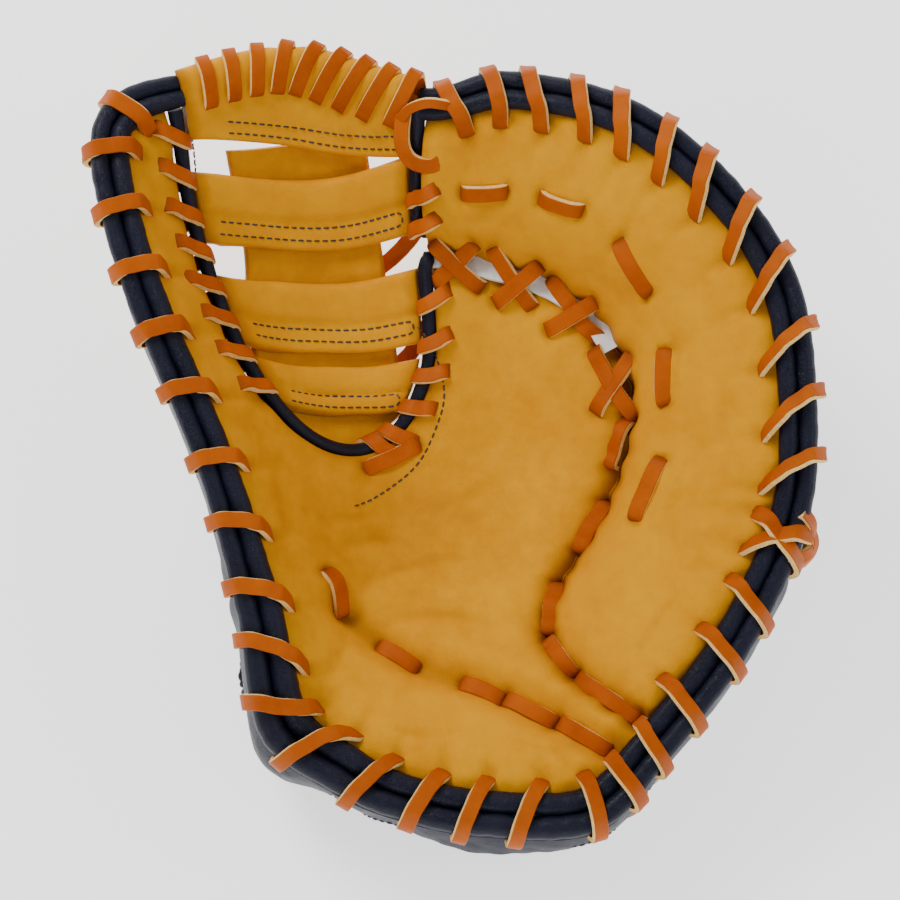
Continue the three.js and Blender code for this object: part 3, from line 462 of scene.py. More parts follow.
# %% Gathering points and faces
class Pile:
    def __init__(self):
        self.points, self.faces, self.finish, self.open, self.count = [], [], [], [], 0

    def add(self, points, faces, finish=0, open_=1.0):
        points = np.asarray(points, float)
        faces = [[i + self.count for i in f] for f in faces]
        self.points.append(points)
        self.faces += faces
        self.finish += [finish] * len(faces) if np.isscalar(finish) else list(finish)
        self.open.append(np.broadcast_to(np.asarray(open_, float), len(points)))
        self.count += len(points)

    def sweep(self, path, sides, section, widths=1.0, closed=False, finish=0, open_=1.0):
        """A bar through path: section is drawn across each point, its first axis along sides."""
        path, sides = np.asarray(path, float), np.asarray(sides, float)
        n, k = len(path), len(section)
        ahead = (np.roll(path, -1, 0) - np.roll(path, 1, 0)) if closed else np.gradient(path, axis=0)
        ahead /= np.linalg.norm(ahead, axis=1)[:, None]
        up = np.cross(ahead, sides)
        up /= np.linalg.norm(up, axis=1)[:, None]
        sides = np.cross(up, ahead)
        size = np.broadcast_to(np.asarray(widths, float).reshape(-1, 1), (n, 1))
        section = np.asarray(section, float)
        rings = [path + (sides * u + up * v) * size for u, v in section]
        points = np.stack(rings, 1).reshape(-1, 3)
        faces, marks = [], []
        marks_of = finish if not np.isscalar(finish) else [finish] * k
        for i in range(n if closed else n - 1):
            for j in range(k):
                a, b = i * k + j, i * k + (j + 1) % k
                c, d = ((i + 1) % n) * k + (j + 1) % k, ((i + 1) % n) * k + j
                faces.append([a, d, c, b])
                marks.append(marks_of[j])
        if not closed:
            end = (n - 1) * k
            faces += [list(range(k)), list(range(end + k - 1, end - 1, -1))]
            marks += [max(marks_of)] * 2
        shade = np.repeat(np.broadcast_to(np.asarray(open_, float), n), k)
        self.add(points, faces, marks, shade)


print("an empty pile has", Pile().count, "points")

# %% [markdown]
# ## A piece in the frame
# The pile becomes a mesh in metres. Its faces are turned outwards, sharp edges are kept
# where leather is cut, and each point carries how open it lies, which the finishes read as painted shade.
# Then the piece is parented to the root body, and the solids it stands for are hidden.


# %% From a pile to an object
def circle(radius, sides):
    turn = np.arange(sides) * TURN / sides
    return radius * np.c_[np.cos(turn), np.sin(turn)]


def add_object(name, data):
    made = bpy.data.objects.new(name, data)
    bpy.context.scene.collection.objects.link(made)
    return made


def make_piece(name, pile, materials, slot, *nodes, sharp=42):
    """One object in the frame from a pile: it rides on the part and may stand for its nodes."""
    mesh = bpy.data.meshes.new(name)
    points = (np.vstack(pile.points) + SHIFT) * MM
    mesh.from_pydata([tuple(p) for p in points], [], pile.faces)
    form = bmesh.new()
    form.from_mesh(mesh)
    bmesh.ops.recalc_face_normals(form, faces=form.faces)
    form.to_mesh(mesh)
    form.free()
    for material in materials:
        mesh.materials.append(material)
    mesh.polygons.foreach_set("material_index", pile.finish)
    # The open value is painted shade: 0 in creases, seams and holes, where the finishes darken the colour.
    mesh.attributes.new("open", "FLOAT", "POINT").data.foreach_set(
        "value", np.concatenate(pile.open).astype(np.float32))
    mesh.shade_smooth()
    mesh.set_sharp_from_angle(angle=math.radians(sharp))
    mesh.update()
    piece = add_object(name, mesh)
    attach(piece, "root")
    if nodes:
        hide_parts(*nodes)
    print(name, len(pile.faces), "faces")
    return piece


print("bench millimetres become metres by", MM)

# %% [markdown]
# ## Sheets of leather
# A sheet is laid out flat as a net of triangles. Its rows are half a step apart sideways,
# as in a honeycomb, and rings of points follow each cut line closely, so that a rounded
# edge has points to bend at. A grid modifier could not follow the cut lines so exactly.


# %% A net over flat outlines
EVEN_ROW = 0.866
LEAST_LEATHER = 1.8


def resample(loop, step):
    loop = np.vstack([loop, loop[:1]])
    run = np.r_[0, np.cumsum(np.hypot(*np.diff(loop, axis=0).T))]
    marks = np.linspace(0, run[-1], max(8, int(run[-1] / step)), endpoint=False)
    return read_rows(marks, run, loop)


def net(loops, step, rings=(0.25, 0.7, 1.4, 2.4)):
    """A fine net of triangles over the flat outlines: its points and its triangles."""
    loops = [resample(loop, step * 0.7) for loop in loops]
    edges, points, start = [], [], 0
    for loop in loops:
        count = len(loop)
        edges += [(start + i, start + (i + 1) % count) for i in range(count)]
        points.append(loop)
        start += count
    lines = [Line(loop, loop.mean(0), True) for loop in loops]
    extra = []
    for line in lines:
        for ring in rings:
            for side in (-1, 1):
                extra.append(line.points[:, :2] + line.normal * ring * side)
    whole = np.vstack(points)
    low, high = whole.min(0), whole.max(0)
    grid = []
    for i, y in enumerate(np.arange(low[1], high[1], step * EVEN_ROW)):
        xs = np.arange(low[0] + (i % 2) * step / 2, high[0], step)
        grid.append(np.c_[xs, np.full(len(xs), y)])
    grid = np.vstack(grid)
    far = np.min([line.near(grid)[0] for line in lines], axis=0)
    grid = grid[far > rings[-1] + step * 0.5]
    for k, ring_points in enumerate(extra):
        ring = rings[(k // 2) % len(rings)]
        gap = np.min([line.near(ring_points)[0] for line in lines], axis=0)
        grid = np.vstack([grid, ring_points[gap > ring * 0.97]])
    flat = np.vstack([whole, grid])
    got = delaunay_2d_cdt([Vector(p) for p in flat], edges, [], 0, 1e-5, False)
    return np.array([(v[0], v[1]) for v in got[0]]), np.array(got[2])


rim_net = net([resample(rim.points[:, :2], 20)], 20, (1.0,))
print("a net 20 mm wide over the rim has", len(rim_net[1]), "triangles")

# %% [markdown]
# ## From a net to leather
# A function bends the net into the form of the bowl, a second one raises the puffs and
# sinks the creases, and a third gives the thickness. A solidify modifier could give the
# second face, but it could not make the padding thick in the middle and thin at the edge.


# %% Two faces and a cut edge
def facing_out(base, flat, outside=1.0):
    """The directions away from a sheet that base lifts off the bench."""
    step = 0.4
    normal = np.cross(base(flat + [step, 0]) - base(flat - [step, 0]),
                      base(flat + [0, step]) - base(flat - [0, step]))
    return normal * (outside / np.linalg.norm(normal, axis=1)[:, None])


def each(value, flat):
    """A value at every flat point, given as a number or as a function of them."""
    return value(flat) if callable(value) else np.full(len(flat), float(value))


def add_sheet(pile, flat, triangles, base, detail, thickness, open_=1.0, outside=1.0, inner_finish=0):
    """Both faces and the cut edge of a sheet. Base lifts flat points to the sheet's own
    form, detail raises them along its normal, and thickness goes the other way."""
    used = np.unique(triangles)
    index = np.full(len(flat), -1)
    index[used] = np.arange(len(used))
    triangles, flat = index[triangles], flat[used]
    middle = base(flat)
    normal = facing_out(base, flat, outside)
    raised, shade = each(detail, flat), each(open_, flat)
    deep = np.maximum(each(thickness, flat), LEAST_LEATHER - raised)
    outer = middle + normal * raised[:, None]
    inner = middle - normal * deep[:, None]
    a, b, c = outer[triangles.T]
    if (np.cross(b - a, c - a) * normal[triangles[:, 0]]).sum() < 0:
        triangles = triangles[:, ::-1]
    count = len(flat)
    faces = [list(t) for t in triangles] + [list(t[::-1] + count) for t in triangles]
    finish = [0] * len(triangles) + [inner_finish] * len(triangles)
    sides = np.vstack([triangles[:, [0, 1]], triangles[:, [1, 2]], triangles[:, [2, 0]]])
    seen = set(map(tuple, sides))
    for p, q in sides:
        if (q, p) not in seen:
            faces.append([p, p + count, q + count, q])
            finish.append(0)
    pile.add(np.vstack([outer, inner]), faces, finish, np.r_[shade, shade])


def rounding(gap, radius):
    """How far a rounded edge lies below the face, at a distance from the cut line."""
    inward = np.clip(radius - gap, 0, radius)
    return radius - np.sqrt(np.maximum(radius**2 - inward**2, 0))


print("no sheet is thinner than", LEAST_LEATHER, "mm")

# %% [markdown]
# ## Where the laces go
# The lace round the rim is pulled through holes punched a few millimetres inside the
# golden edge. Each wrap leans, because the next hole is further on. The table holds, for
# each wrap, how far along the rim its hole is and where it leaves the outer roll, as
# shares of the rim's length from the web on the finger side.

# %% Tables of the laces
RIM_WRAPS = [
    (0.016, 0.008), (0.040, 0.031), (0.063, 0.051), (0.087, 0.073), (0.110, 0.096), (0.134, 0.120),
    (0.161, 0.144), (0.189, 0.171), (0.220, 0.201), (0.254, 0.235), (0.285, 0.266), (0.312, 0.293),
    (0.325, 0.343), (0.345, 0.331), (0.361, 0.372), (0.388, 0.398), (0.419, 0.428), (0.441, 0.451),
    (0.461, 0.471), (0.481, 0.492), (0.519, 0.531), (0.546, 0.558), (0.571, 0.584), (0.596, 0.611),
    (0.623, 0.648), (0.655, 0.678), (0.690, 0.703), (0.716, 0.727), (0.747, 0.756), (0.778, 0.786),
    (0.810, 0.816), (0.842, 0.846), (0.874, 0.876), (0.906, 0.906), (0.938, 0.936), (0.970, 0.966),
]
HOLE_INSET = 4.5
wrap_holes = np.array([h for h, _ in RIM_WRAPS]) * rim_run
at_holes = rim.at(wrap_holes)
RIM_HOLES = at_holes[:, :2] + at_holes[:, -2:] * (at_holes[:, 3:4] + HOLE_INSET)
HOLE_INWARD = at_holes[:, -2:]

# Short strips on the face: x and y of both ends, how high the strip lies, its tilt in degrees
CRESCENT_STRIPS = [
    (-10, 238, 7, 237, 0.8, -10), (20, 234, 35, 228, 0.8, -12), (49, 216, 60, 198, 0.9, 30),
    (66, 178, 66, 159, 0.9, 34), (65, 139, 55, 119, 0.9, 12),
]
SEAM_STRIPS = [
    (-21, 209, -6, 221, 1.2, 6), (-21, 222, -4, 207, 3.0, -8), (2, 202, 18, 212, 3.0, 6),
    (1, 219, 15, 199, 1.2, -10), (21, 191, 39, 198, 1.2, 6), (22, 207, 39, 185, 3.0, 10),
    (39, 161, 51, 178, 1.2, 10), (38, 182, 51, 158, 3.0, 12), (42, 141, 48, 158, 1.0, 8),
    (40, 128, 31, 112, 1.2, 18), (23, 100, 20, 82, 1.2, 20), (20, 79, 29, 65, 1.2, -16),
    (31, 63, 52, 46, 1.2, -16), (-46, 145, -27, 155, 1.0, -18),
]
HEEL_STRIPS = [
    (-60, 101, -51, 87, 1.2, -8), (-40, 77, -27, 69, 1.0, -14), (-10, 63, 4, 57, 1.0, -14),
    (6, 57, 22, 47, 1.4, -14), (24, 47, 41, 35, 1.0, -14),
]
strips = np.array(CRESCENT_STRIPS + SEAM_STRIPS + HEEL_STRIPS, float)
strip_ahead = strips[:, 2:4] - strips[:, 0:2]
strip_ahead /= np.linalg.norm(strip_ahead, axis=1)[:, None]
STRIP_HOLES = np.vstack([strips[:, 0:2], strips[:, 2:4]])
STRIP_HEADING = np.vstack([-strip_ahead, strip_ahead])
print("rim wraps:", len(RIM_WRAPS), "short strips:", len(strips))

# %% [markdown]
# ## The palm and the finger crescent
# Two padded pieces make the catching face. Between them runs an open seam, laced across,
# where both lips roll down. The padding stands highest in the middle of the crescent, the
# heel folds along its crease, each lace hole puckers the edge, and soft wrinkles run from
# the hinge into the pocket. One net is laid over the whole face and shared out between
# the two pieces along the seam.

# %% The face's outline
golden_edge = band_edge + rim.normal * 0.3
u_runs = np.linspace(0, web.length, 160)
u_line = Line(web.at(u_runs, -WEB_ROLL)[:, :2], web_middle)
u_loop = np.vstack([u_line.points, [(CROTCH_X - 90, 420), (CROTCH_X + 60, 420)]])
seam_runs = np.linspace(0, seam.length, 200)
seam_gap = 0.15 + 1.0 * blend((0.37 - seam_runs / seam.length) / 0.12)
seam_low = seam.at(seam_runs, seam_gap)[:, :2]
seam_high = seam.at(seam_runs, -seam_gap)[:, :2]
past_end, past_start = seam.tangent[-1] * 60, seam.tangent[0] * -30
seam_loop = np.vstack([seam_low, seam_low[-1] + past_end, seam_high[-1] + past_end,
                       seam_high[::-1], seam_high[0] + past_start, seam_low[0] + past_start])
face_line = Line(golden_edge, POCKET, True)
print("golden edge", round(face_line.length), "mm, open seam", round(seam_gap.max() * 2, 1), "mm wide")

# %% [markdown]
# ## Dents and creases
# Leather sinks where a lace pulls it and folds where the hand bends it. Both are heights
# over the bench: an oval dent, and a soft stroke that fades at both ends. Sculpting would
# do as well, but a stroke from a table can be moved when it is compared with the real one.


# %% Dents, creases and where they are
def dimples(xy, places, inward, reach, width, depth, shift=0.0):
    """Oval dents at places, longer along inward."""
    total = np.zeros(len(xy))
    for place, heading in zip(places, inward):
        rel = xy - (place + heading * shift)
        along, across = rel @ heading, rel @ [-heading[1], heading[0]]
        total -= depth * hump(along, reach) * hump(across, width)
    return total


def stroke(xy, rows, depth, width):
    """A soft crease along a short line over the bench, fading at both ends."""
    line = Line(smooth(rows, 8), POCKET)
    far, run, _ = line.near(xy)
    ends = np.sin(math.pi * np.clip(run / line.length, 0.02, 0.98))
    return -depth * ends * (hump(far, width) - 0.45 * hump(far, width * 2.2))


# The colour is darker round this place in the pocket's middle.
DARKER_MIDDLE = (-34, 132)
# Rows of points in millimetres over the bench, depth and width of each soft crease.
WRINKLES = [
    ([(-52, 96), (-40, 104), (-24, 110), (-6, 112)], 1.0, 4.0),
    ([(-56, 112), (-42, 118), (-28, 118)], 0.8, 3.5),
    ([(-48, 82), (-30, 88), (-10, 88), (8, 82)], 0.9, 4.5),
    ([(-66, 120), (-52, 124), (-38, 130)], 0.8, 3.0),
    ([(30, 52), (44, 50), (58, 56)], 0.7, 3.5),
    ([(52, 62), (62, 78), (72, 92)], 0.8, 4.0),
    ([(58, 104), (68, 118), (76, 140)], 0.6, 5.0),
    ([(60, 150), (70, 168), (70, 190)], 0.6, 5.0),
    ([(30, 212), (46, 204), (58, 190)], 0.7, 4.5),
    ([(-18, 232), (0, 230), (18, 224)], 0.5, 4.5),
    ([(-44, 44), (-26, 40), (-8, 42)], 0.8, 4.0),
    ([(8, 38), (22, 34), (34, 40)], 0.7, 3.5),
    ([(-88, 150), (-84, 170), (-88, 190)], 0.8, 4.0),
    ([(-74, 110), (-78, 130), (-76, 148)], 0.8, 3.5),
    ([(-104, 196), (-102, 216), (-108, 236)], 0.7, 4.0),
    ([(-30, 130), (-14, 132), (2, 142), (12, 156)], 0.45, 5.0),
]
print("wrinkles:", len(WRINKLES))

# %% [markdown]
# ## The face's relief
# The relief is a sum. Slow hills come first, then the lips that roll down into the seam,
# the puff of the crescent, the crease across the heel, the raised heel, the puckered edge,
# the dents at the holes and the wrinkles. The same distances tell the thickness of the
# padding and where shade is painted into the colour.


# %% Height, thickness and shade of the face
SLOW_HILLS, SHORT_HILLS, LIP_FALL, CRESCENT_PUFF = 1.3, 0.55, 6.0, 5.6
CREASE_FALL, HEEL_RISE, EDGE_RISE, EDGE_PUCKER = 5.6, 3.4, 1.2, 0.5
PALM_CORNERS = [(-300, -80), (-300, 420), (-60, 420)]


def face_parts(xy):
    """Distance to the golden edge and to the seam, the run along the seam, distance to the U."""
    edge = face_line.near(xy)[0]
    far, run, _ = seam.near(xy)
    u_far = u_line.near(xy)[0]
    return edge, far, run, u_far


def face_relief(xy):
    edge, far, run, u_far = face_parts(xy)
    on_palm = within(np.vstack([seam_low, [(90, -80), *PALM_CORNERS]]), xy)
    total = SLOW_HILLS * hills(xy, 60.0, 11) + SHORT_HILLS * hills(xy, 22.0, 12)
    total *= blend(edge / 16)
    lips = np.maximum(far - 1.0, 0)
    scallop = 1 + 0.22 * np.sin(run * TURN / 11) * blend(run / 12)
    total -= LIP_FALL * scallop * np.exp(-((lips / 5.2) ** 1.5))
    across = far / (far + edge + 1e-6)
    total += CRESCENT_PUFF * np.clip(4 * across * (1 - across), 0, 1) ** 0.8 * ~on_palm
    heel_far, heel_run, _ = crease.near(xy)
    fade = blend(heel_run / 14) * blend((crease.length - heel_run) / 10 + 0.3)
    total -= CREASE_FALL * fade * hump(heel_far, 5.8) * on_palm
    total += HEEL_RISE * blend(heel_far / 14) * blend(edge / 14) * blend((92 - xy[:, 1]) / 30) * on_palm
    total += EDGE_RISE * (blend(edge / 5) - 1)
    total -= EDGE_PUCKER * hump(edge, 3.0) * (1 + np.sin(face_line.near(xy)[1] * TURN / 12))
    total += dimples(xy, RIM_HOLES, HOLE_INWARD, 6.5, 2.6, 1.5, 1.0)
    total += dimples(xy, RIM_HOLES, HOLE_INWARD, 12.0, 2.2, 0.5, 7.0)
    total += dimples(xy, STRIP_HOLES, STRIP_HEADING, 3.0, 3.6, 1.6)
    for rows, depth, width in WRINKLES:
        total += stroke(xy, rows, depth, width)
    total -= rounding(lips, 2.6) + rounding(edge, 1.4) + rounding(u_far, 1.6)
    return total


def face_depth(xy):
    edge, _, _, u_far = face_parts(xy)
    near = np.minimum(edge, np.maximum(u_far, 0))
    return EDGE_LEATHER + 0.4 + (PALM_PAD - EDGE_LEATHER - 1.0) * blend(near / PAD_TAPER)


def face_open(xy):
    """Close to 0 in the seam, the holes and the creases, where shade is painted, and lower towards the pocket's
    middle.
    """
    edge, far, _, u_far = face_parts(xy)
    heel_far = crease.near(xy)[0]
    dark = 0.75 * hump(np.maximum(far - 1, 0), 3.2) + 0.45 * hump(heel_far, 3.0)
    dark += 0.35 * hump(u_far, 2.5) + 0.25 * hump(edge, 2.0)
    dark -= dimples(xy, RIM_HOLES, HOLE_INWARD, 3.2, 2.4, 0.5)
    dark -= dimples(xy, STRIP_HOLES, STRIP_HEADING, 1.5, 3.0, 0.8, 0.6)
    for rows, depth, width in WRINKLES:
        dark += np.maximum(-stroke(xy, rows, depth, width * 0.7), 0) * 0.4
    # Darker towards the pocket's middle.
    middle_darkening = hump(np.hypot(*(xy - DARKER_MIDDLE).T), 42)
    return np.clip(1 - dark - 0.34 * middle_darkening, 0, 1)


def on_face(xy, lift=0.0):
    """Points on the dressed palm, relief included, lifted off it."""
    xy = np.atleast_2d(np.asarray(xy, float))
    return on_pocket(xy, face_relief(xy) + lift)


print("padding", round(float(face_depth(np.array([(0.0, 120.0)]))[0]), 1), "mm thick in the pocket")

# %% [markdown]
# ## Cutting the face
# The net is cut in two along the seam. Both pieces are closed solids with a dark lining
# behind. They replace the two plain solids of the part.

# %% The padded face
FACE_STEP, WEB_STEP, POST_STEP, BACK_STEP = 1.9, 1.7, 2.0, 3.0
flat, triangles = net([golden_edge, u_loop, seam_loop], FACE_STEP, (0.2, 0.55, 1.1, 1.9, 3.0))
middles = flat[triangles].mean(1)
kept = within(golden_edge, middles) & ~within(u_loop, middles) & ~within(seam_loop, middles)
palm_side = within(np.vstack([seam.points, [(200, -80), *PALM_CORNERS]]), middles)
for name, node, mask, fill in (("palm_pad", "palm_leather", kept & palm_side, 0.75),
                               ("crescent_pad", "finger_crescent", kept & ~palm_side, 0.9)):
    pile = Pile()
    # face_open is the painted shade of the face.
    add_sheet(pile, flat, triangles[mask], lambda xy: np.c_[xy, pocket_height(xy)],
              face_relief, face_depth, face_open, inner_finish=1)
    piece = make_piece(name, pile, [GOLDEN, LINING], "golden_leather", node)

# %% [markdown]
# ## Rolls round the rim
# Two strips of navy leather are rolled over cord and bind the rim. A tube swept along the
# rim would look like hose, so each roll is cinched where a lace crosses it, swells a
# little between the laces, and has fine wrinkles along its length.


# %% Rim rolls
def rolled(run, seed, wraps, radius):
    """The roll's own radius along its run, pinched at the wraps."""
    pinch = sum(hump(run - wrap, 3.4) for wrap in wraps)
    chance = np.random.default_rng(seed)
    ripple = sum(np.sin(run * TURN / chance.uniform(4, 11) + chance.uniform(0, TURN)) for _ in range(4))
    return radius * (1 + 0.035 - 0.09 * pinch + 0.012 * ripple)


def rim_roll(name, node, share, seed):
    run = np.linspace(0, rim_run, 520)
    at = rim.at(run)
    radius = at[:, 3] / 4 + 0.05
    wraps = np.array([h + (o - h) * (1.2 - share) for h, o in RIM_WRAPS]) * rim_run
    inset = at[:, 3] * share
    path = np.c_[at[:, :2] + at[:, -2:] * inset[:, None], at[:, 2] - at[:, 3] / 4 + 0.3]
    along = np.c_[run, run * 0]
    path += np.c_[hills(along, 30, seed), hills(along, 26, seed + 1), hills(along, 34, seed + 2)] * 0.25
    sides = np.c_[at[:, -2:], np.zeros(len(run))]
    pile = Pile()
    pile.sweep(path, sides, circle(1.0, 14), rolled(run, seed, wraps, radius), open_=1.0)
    return make_piece(name, pile, [NAVY], "navy_leather", node, sharp=80)


rim_roll("outer_roll", "rim_roll_outer", 0.25, 21)
rim_roll("inner_roll", "rim_roll_inner", 0.75, 31)

# %% [markdown]
# ## Laces
# A lace is a strip of hide cut from a larger one, so its two narrow sides are pale. Its
# section is a flat bar with broken corners, and the two cut sides get their own finish.
# Each wrap is one strip that comes out of its hole, bends over the rolls and goes into
# the back. The twist comes from the direction of its width, which is given at each point.

# %% A strip of lace
half, flat_half, corner = LACE_WIDTH / 2, LACE_THICKNESS / 2 + 0.3, 0.3
LACE_SECTION = [
    (half, -flat_half + corner), (half, flat_half - corner), (half - corner, flat_half), (0, flat_half + 0.12),
    (-half + corner, flat_half), (-half, flat_half - corner), (-half, -flat_half + corner),
    (-half + corner, -flat_half), (half - corner, -flat_half),
]
LACE_MARKS = [1, 0, 0, 0, 0, 1, 0, 0, 0]
LACE_LEAN = 0.4


def lace(pile, places, sides, width=1.0, steps=4, open_=None):
    """One strip through places. Sides are the directions of its width."""
    path = smooth(places, steps)
    across = smooth(sides, steps)
    # open_ paints shade along the strip, darker where it dives into its holes.
    shade = 1.0 if open_ is None else np.interp(np.linspace(0, 1, len(path)), np.linspace(0, 1, len(open_)), open_)
    section = np.array(LACE_SECTION) * [width, 1]
    pile.sweep(path, across, section, finish=LACE_MARKS, open_=shade)


def flat_lace(pile, places, ups, lean=(0, 0, 0), **how):
    """One strip through places, whose flat face looks along ups."""
    side = np.cross(np.gradient(places, axis=0), ups) + np.array(lean)
    lace(pile, places, side / np.linalg.norm(side, axis=1)[:, None], **how)


# Places over the rolls: share of the way along, inset as a share of the rolls' width and in
# mm, then the height as a share of it and in mm above the rim, or None and mm off the palm
OVER_ROLLS = [
    (0.0, 1, HOLE_INSET + 1.0, None, -4.0), (0.0, 1, HOLE_INSET + 0.6, None, -0.6),
    (0.05, 1, HOLE_INSET - 0.8, None, 1.5), (0.22, 1, 1.2, 0, -0.4), (0.34, 0.93, 0, 0, 1.5),
    (0.5, 0.76, 0, 0, 2.3), (0.68, 0.46, 0, 0, 2.1), (0.83, 0.2, 0, 0, 2.0),
    (0.93, 0.02, -0.6, -0.10, 0.2), (1.0, 0, -2.0, -0.30, 0), (1.05, 0, -1.4, -0.50, -0.6),
    (1.1, 0, 1.2, -0.62, -1.6), (1.1, 0, 5.0, -0.66, -2.4),
]


def lace_piece(name, pile, *nodes):
    return make_piece(name, pile, [LACE, CUT_EDGE], "lace_leather", *nodes)


def rim_wraps(name, node, first, last):
    pile = Pile()
    chance = np.random.default_rng(first + 5)
    for hole, out in RIM_WRAPS[first:last]:
        out += chance.uniform(-0.002, 0.002)
        places, sides = [], []
        for share, inset, more, rise, lift in OVER_ROLLS:
            at = rim.at((hole + (out - hole) * share) * rim_run)[0]
            xy = at[:2] + at[-2:] * (inset * at[3] + more)
            places.append(on_face(xy, lift)[0] if rise is None else np.r_[xy, at[2] + rise * at[3] + lift])
            sides.append(np.r_[at[6:8], LACE_LEAN])
        # Painted shade: darker at both ends, where the strip goes into its holes.
        lace(pile, places, sides, width=chance.uniform(0.92, 1.04), steps=3,
             open_=[0.2, 0.5, 0.9, 1, 1, 1, 1, 1, 1, 0.9, 0.5, 0.2])
    return lace_piece(name, pile, node)


rim_wraps("finger_laces", "rim_lace_fingers", 0, 15)
rim_wraps("heel_laces", "rim_lace_heel", 15, 26)
rim_wraps("thumb_laces", "rim_lace_thumb", 26, len(RIM_WRAPS))

# %% [markdown]
# ## Short strips across the face
# A lace shows on the catching face as short strips, each from one hole to the next. Where
# it joins the palm to the crescent the strips cross over the open seam, and in the heel
# they lie in the crease. Each strip is drawn tight between its holes, so it bridges the
# dips of the padding, and it dives at both ends.


# %% Strips from hole to hole
def tacked(pile, row):
    x0, y0, x1, y1, lift, tilt = row
    start, end = np.array([x0, y0], float), np.array([x1, y1], float)
    ahead = (end - start) / np.linalg.norm(end - start)
    share = np.array([0, 0, 0.07, 0.25, 0.5, 0.75, 0.93, 1, 1])
    sink = np.array([-6, -2.2, -0.3, 0, 0.2, 0, -0.3, -2.2, -6])
    xy = start + share[:, None] * (end - start)
    beside = np.array([-ahead[1], ahead[0]]) * 2.8
    ground = (face_relief(xy) + face_relief(xy + beside) + face_relief(xy - beside)) / 3
    tight = np.interp(share, [0.07, 0.93], ground[[2, 6]])
    places = on_pocket(xy, np.maximum(ground, tight) + lift + sink)
    normal = pocket_normal(xy)
    side = np.cross(np.r_[ahead, 0], normal)
    turned = math.radians(tilt) * np.array([0, 0.3, 0.8, 1, 1, 1, 0.8, 0.3, 0])[:, None]
    side = side * np.cos(turned) + normal * np.sin(turned)
    # Painted shade: darker at both ends, where the strip dives into its holes.
    lace(pile, places, side, steps=3, open_=[0.1, 0.3, 0.8, 1, 1, 1, 0.8, 0.3, 0.1])


for name, rows in (("crescent_strips", CRESCENT_STRIPS), ("seam_strips", SEAM_STRIPS), ("heel_strips", HEEL_STRIPS)):
    pile = Pile()
    for row in rows:
        tacked(pile, row)
    lace_piece(name, pile)


# %% [markdown]
# ## Stitches
# A sewn line is a row of short threads. Each one rises out of the leather, lies flat for
# about two millimetres and dips again. They are modelled, since a line painted on would
# look flat from the side.


# %% Rows of stitches
def stitches(pile, path, ups, pitch=3.1, length=2.2, radius=0.36):
    """Threads along a path. Ups are the directions away from the leather."""
    path, ups = np.asarray(path, float), np.asarray(ups, float)
    run = np.r_[0, np.cumsum(np.linalg.norm(np.diff(path, axis=0), axis=1))]
    for first in np.arange(0.4, run[-1] - length, pitch):
        marks = first + length * np.array([0, 0.2, 0.8, 1])
        up = read_rows(marks, run, ups)
        place = read_rows(marks, run, path) + up * np.array([-0.45, 0.12, 0.12, -0.45])[:, None]
        side = np.cross(place[-1] - place[0], up[1])
        pile.sweep(place, np.tile(side / np.linalg.norm(side), (4, 1)), circle(radius, 5))


def sewn(name, paths, finish=THREAD, slot="thread", **sizes):
    pile = Pile()
    for path, ups in paths:
        stitches(pile, path, ups, **sizes)
    return make_piece(name, pile, [finish], slot, sharp=60)


ARC = [(-27, 196), (-22, 190), (-18, 180), (-17, 171), (-20, 161), (-26, 149), (-35, 140), (-45, 132), (-52, 128)]
arc = smooth(ARC, 10)
sewn("arc_stitches", [(on_face(arc), pocket_normal(arc))])

# %% [markdown]
# ## The web
# Three folded straps cross the U, with a wider post behind them and a band along the top.
# Each strap is a tube of leather pressed flat: one half stays round, the other half is
# sewn down in a long loop. All of them are cut from one net, so their edges are exact, and
# they follow the pocket's surface like the solids do.

# %% Outlines of the web
BARS = [("upper_bar", "web_bar_upper", 0.80, 0.23), ("middle_bar", "web_bar_middle", 0.455, 0.24),
        ("base_bar", "web_bar_base", 0.20, 0.17)]
BAR_TILT, BAND_REACH = 0.05, 9.6
web_rows = np.vstack([rim.points[WEB_SIDE:], rim.points[:1]])
web_normals = np.vstack([rim.normal[WEB_SIDE:], rim.normal[:1]])
top_angle, _ = polar(web_rows[:, :2])
band_top = Line(from_polar(top_angle, read(top_angle, EDGE_ANGLE, EDGE_RADIUS) + BAND_REACH), web_middle)
band_low = Line(web_rows[:, :2] + web_normals * BAND_WIDTH, (web_middle[0], 400))
band_loop = np.vstack([band_top.points, band_low.points[::-1]])
inner_loop = web.at(u_runs, 1.2)[:, :2]
print("band", round(band_top.length), "mm long, U inside the roll", round(WEB_WIDTH), "mm wide")

# %% [markdown]
# ## The straps
# A strap is full in its upper half and flat below, with a groove where the stitches pull
# it down. Its place is told by its share of the web's depth, and its form by how far a
# point lies between its two long edges.


# %% Three folded straps
def bar_middle(xs, along):
    return CROTCH_Y + WEB_DEPTH * along + BAR_TILT * (xs - web_middle[0])


def bar_share(xy, along, width):
    """Minus 1 at the low edge of a bar, 1 at its high edge."""
    return (xy[:, 1] - bar_middle(xy[:, 0], along)) / (WEB_DEPTH * width / 2)


def bar_line(along, width, share, xs):
    return np.c_[xs, bar_middle(xs, along) + WEB_DEPTH * width / 2 * share]


def round_half(share):
    """How full the strap is: its upper half is a tube, the rest is sewn flat."""
    return np.sqrt(np.clip(1 - ((share - 0.42) / 0.62) ** 2, 0, 1))


def bar_relief(xy, along, width):
    share = bar_share(xy, along, width)
    gap = WEB_DEPTH * width / 2 * (1 - np.abs(share))
    tube = round_half(share) * blend((share + 0.25) / 0.3)
    ends = inner_line.near(xy)[0]
    total = 1.1 * tube - rounding(gap, 1.9) - 0.5 * hump(share + 0.2, 0.10)
    return total + 0.35 * hills(xy, 26, int(along * 100)) - rounding(ends, 1.2)


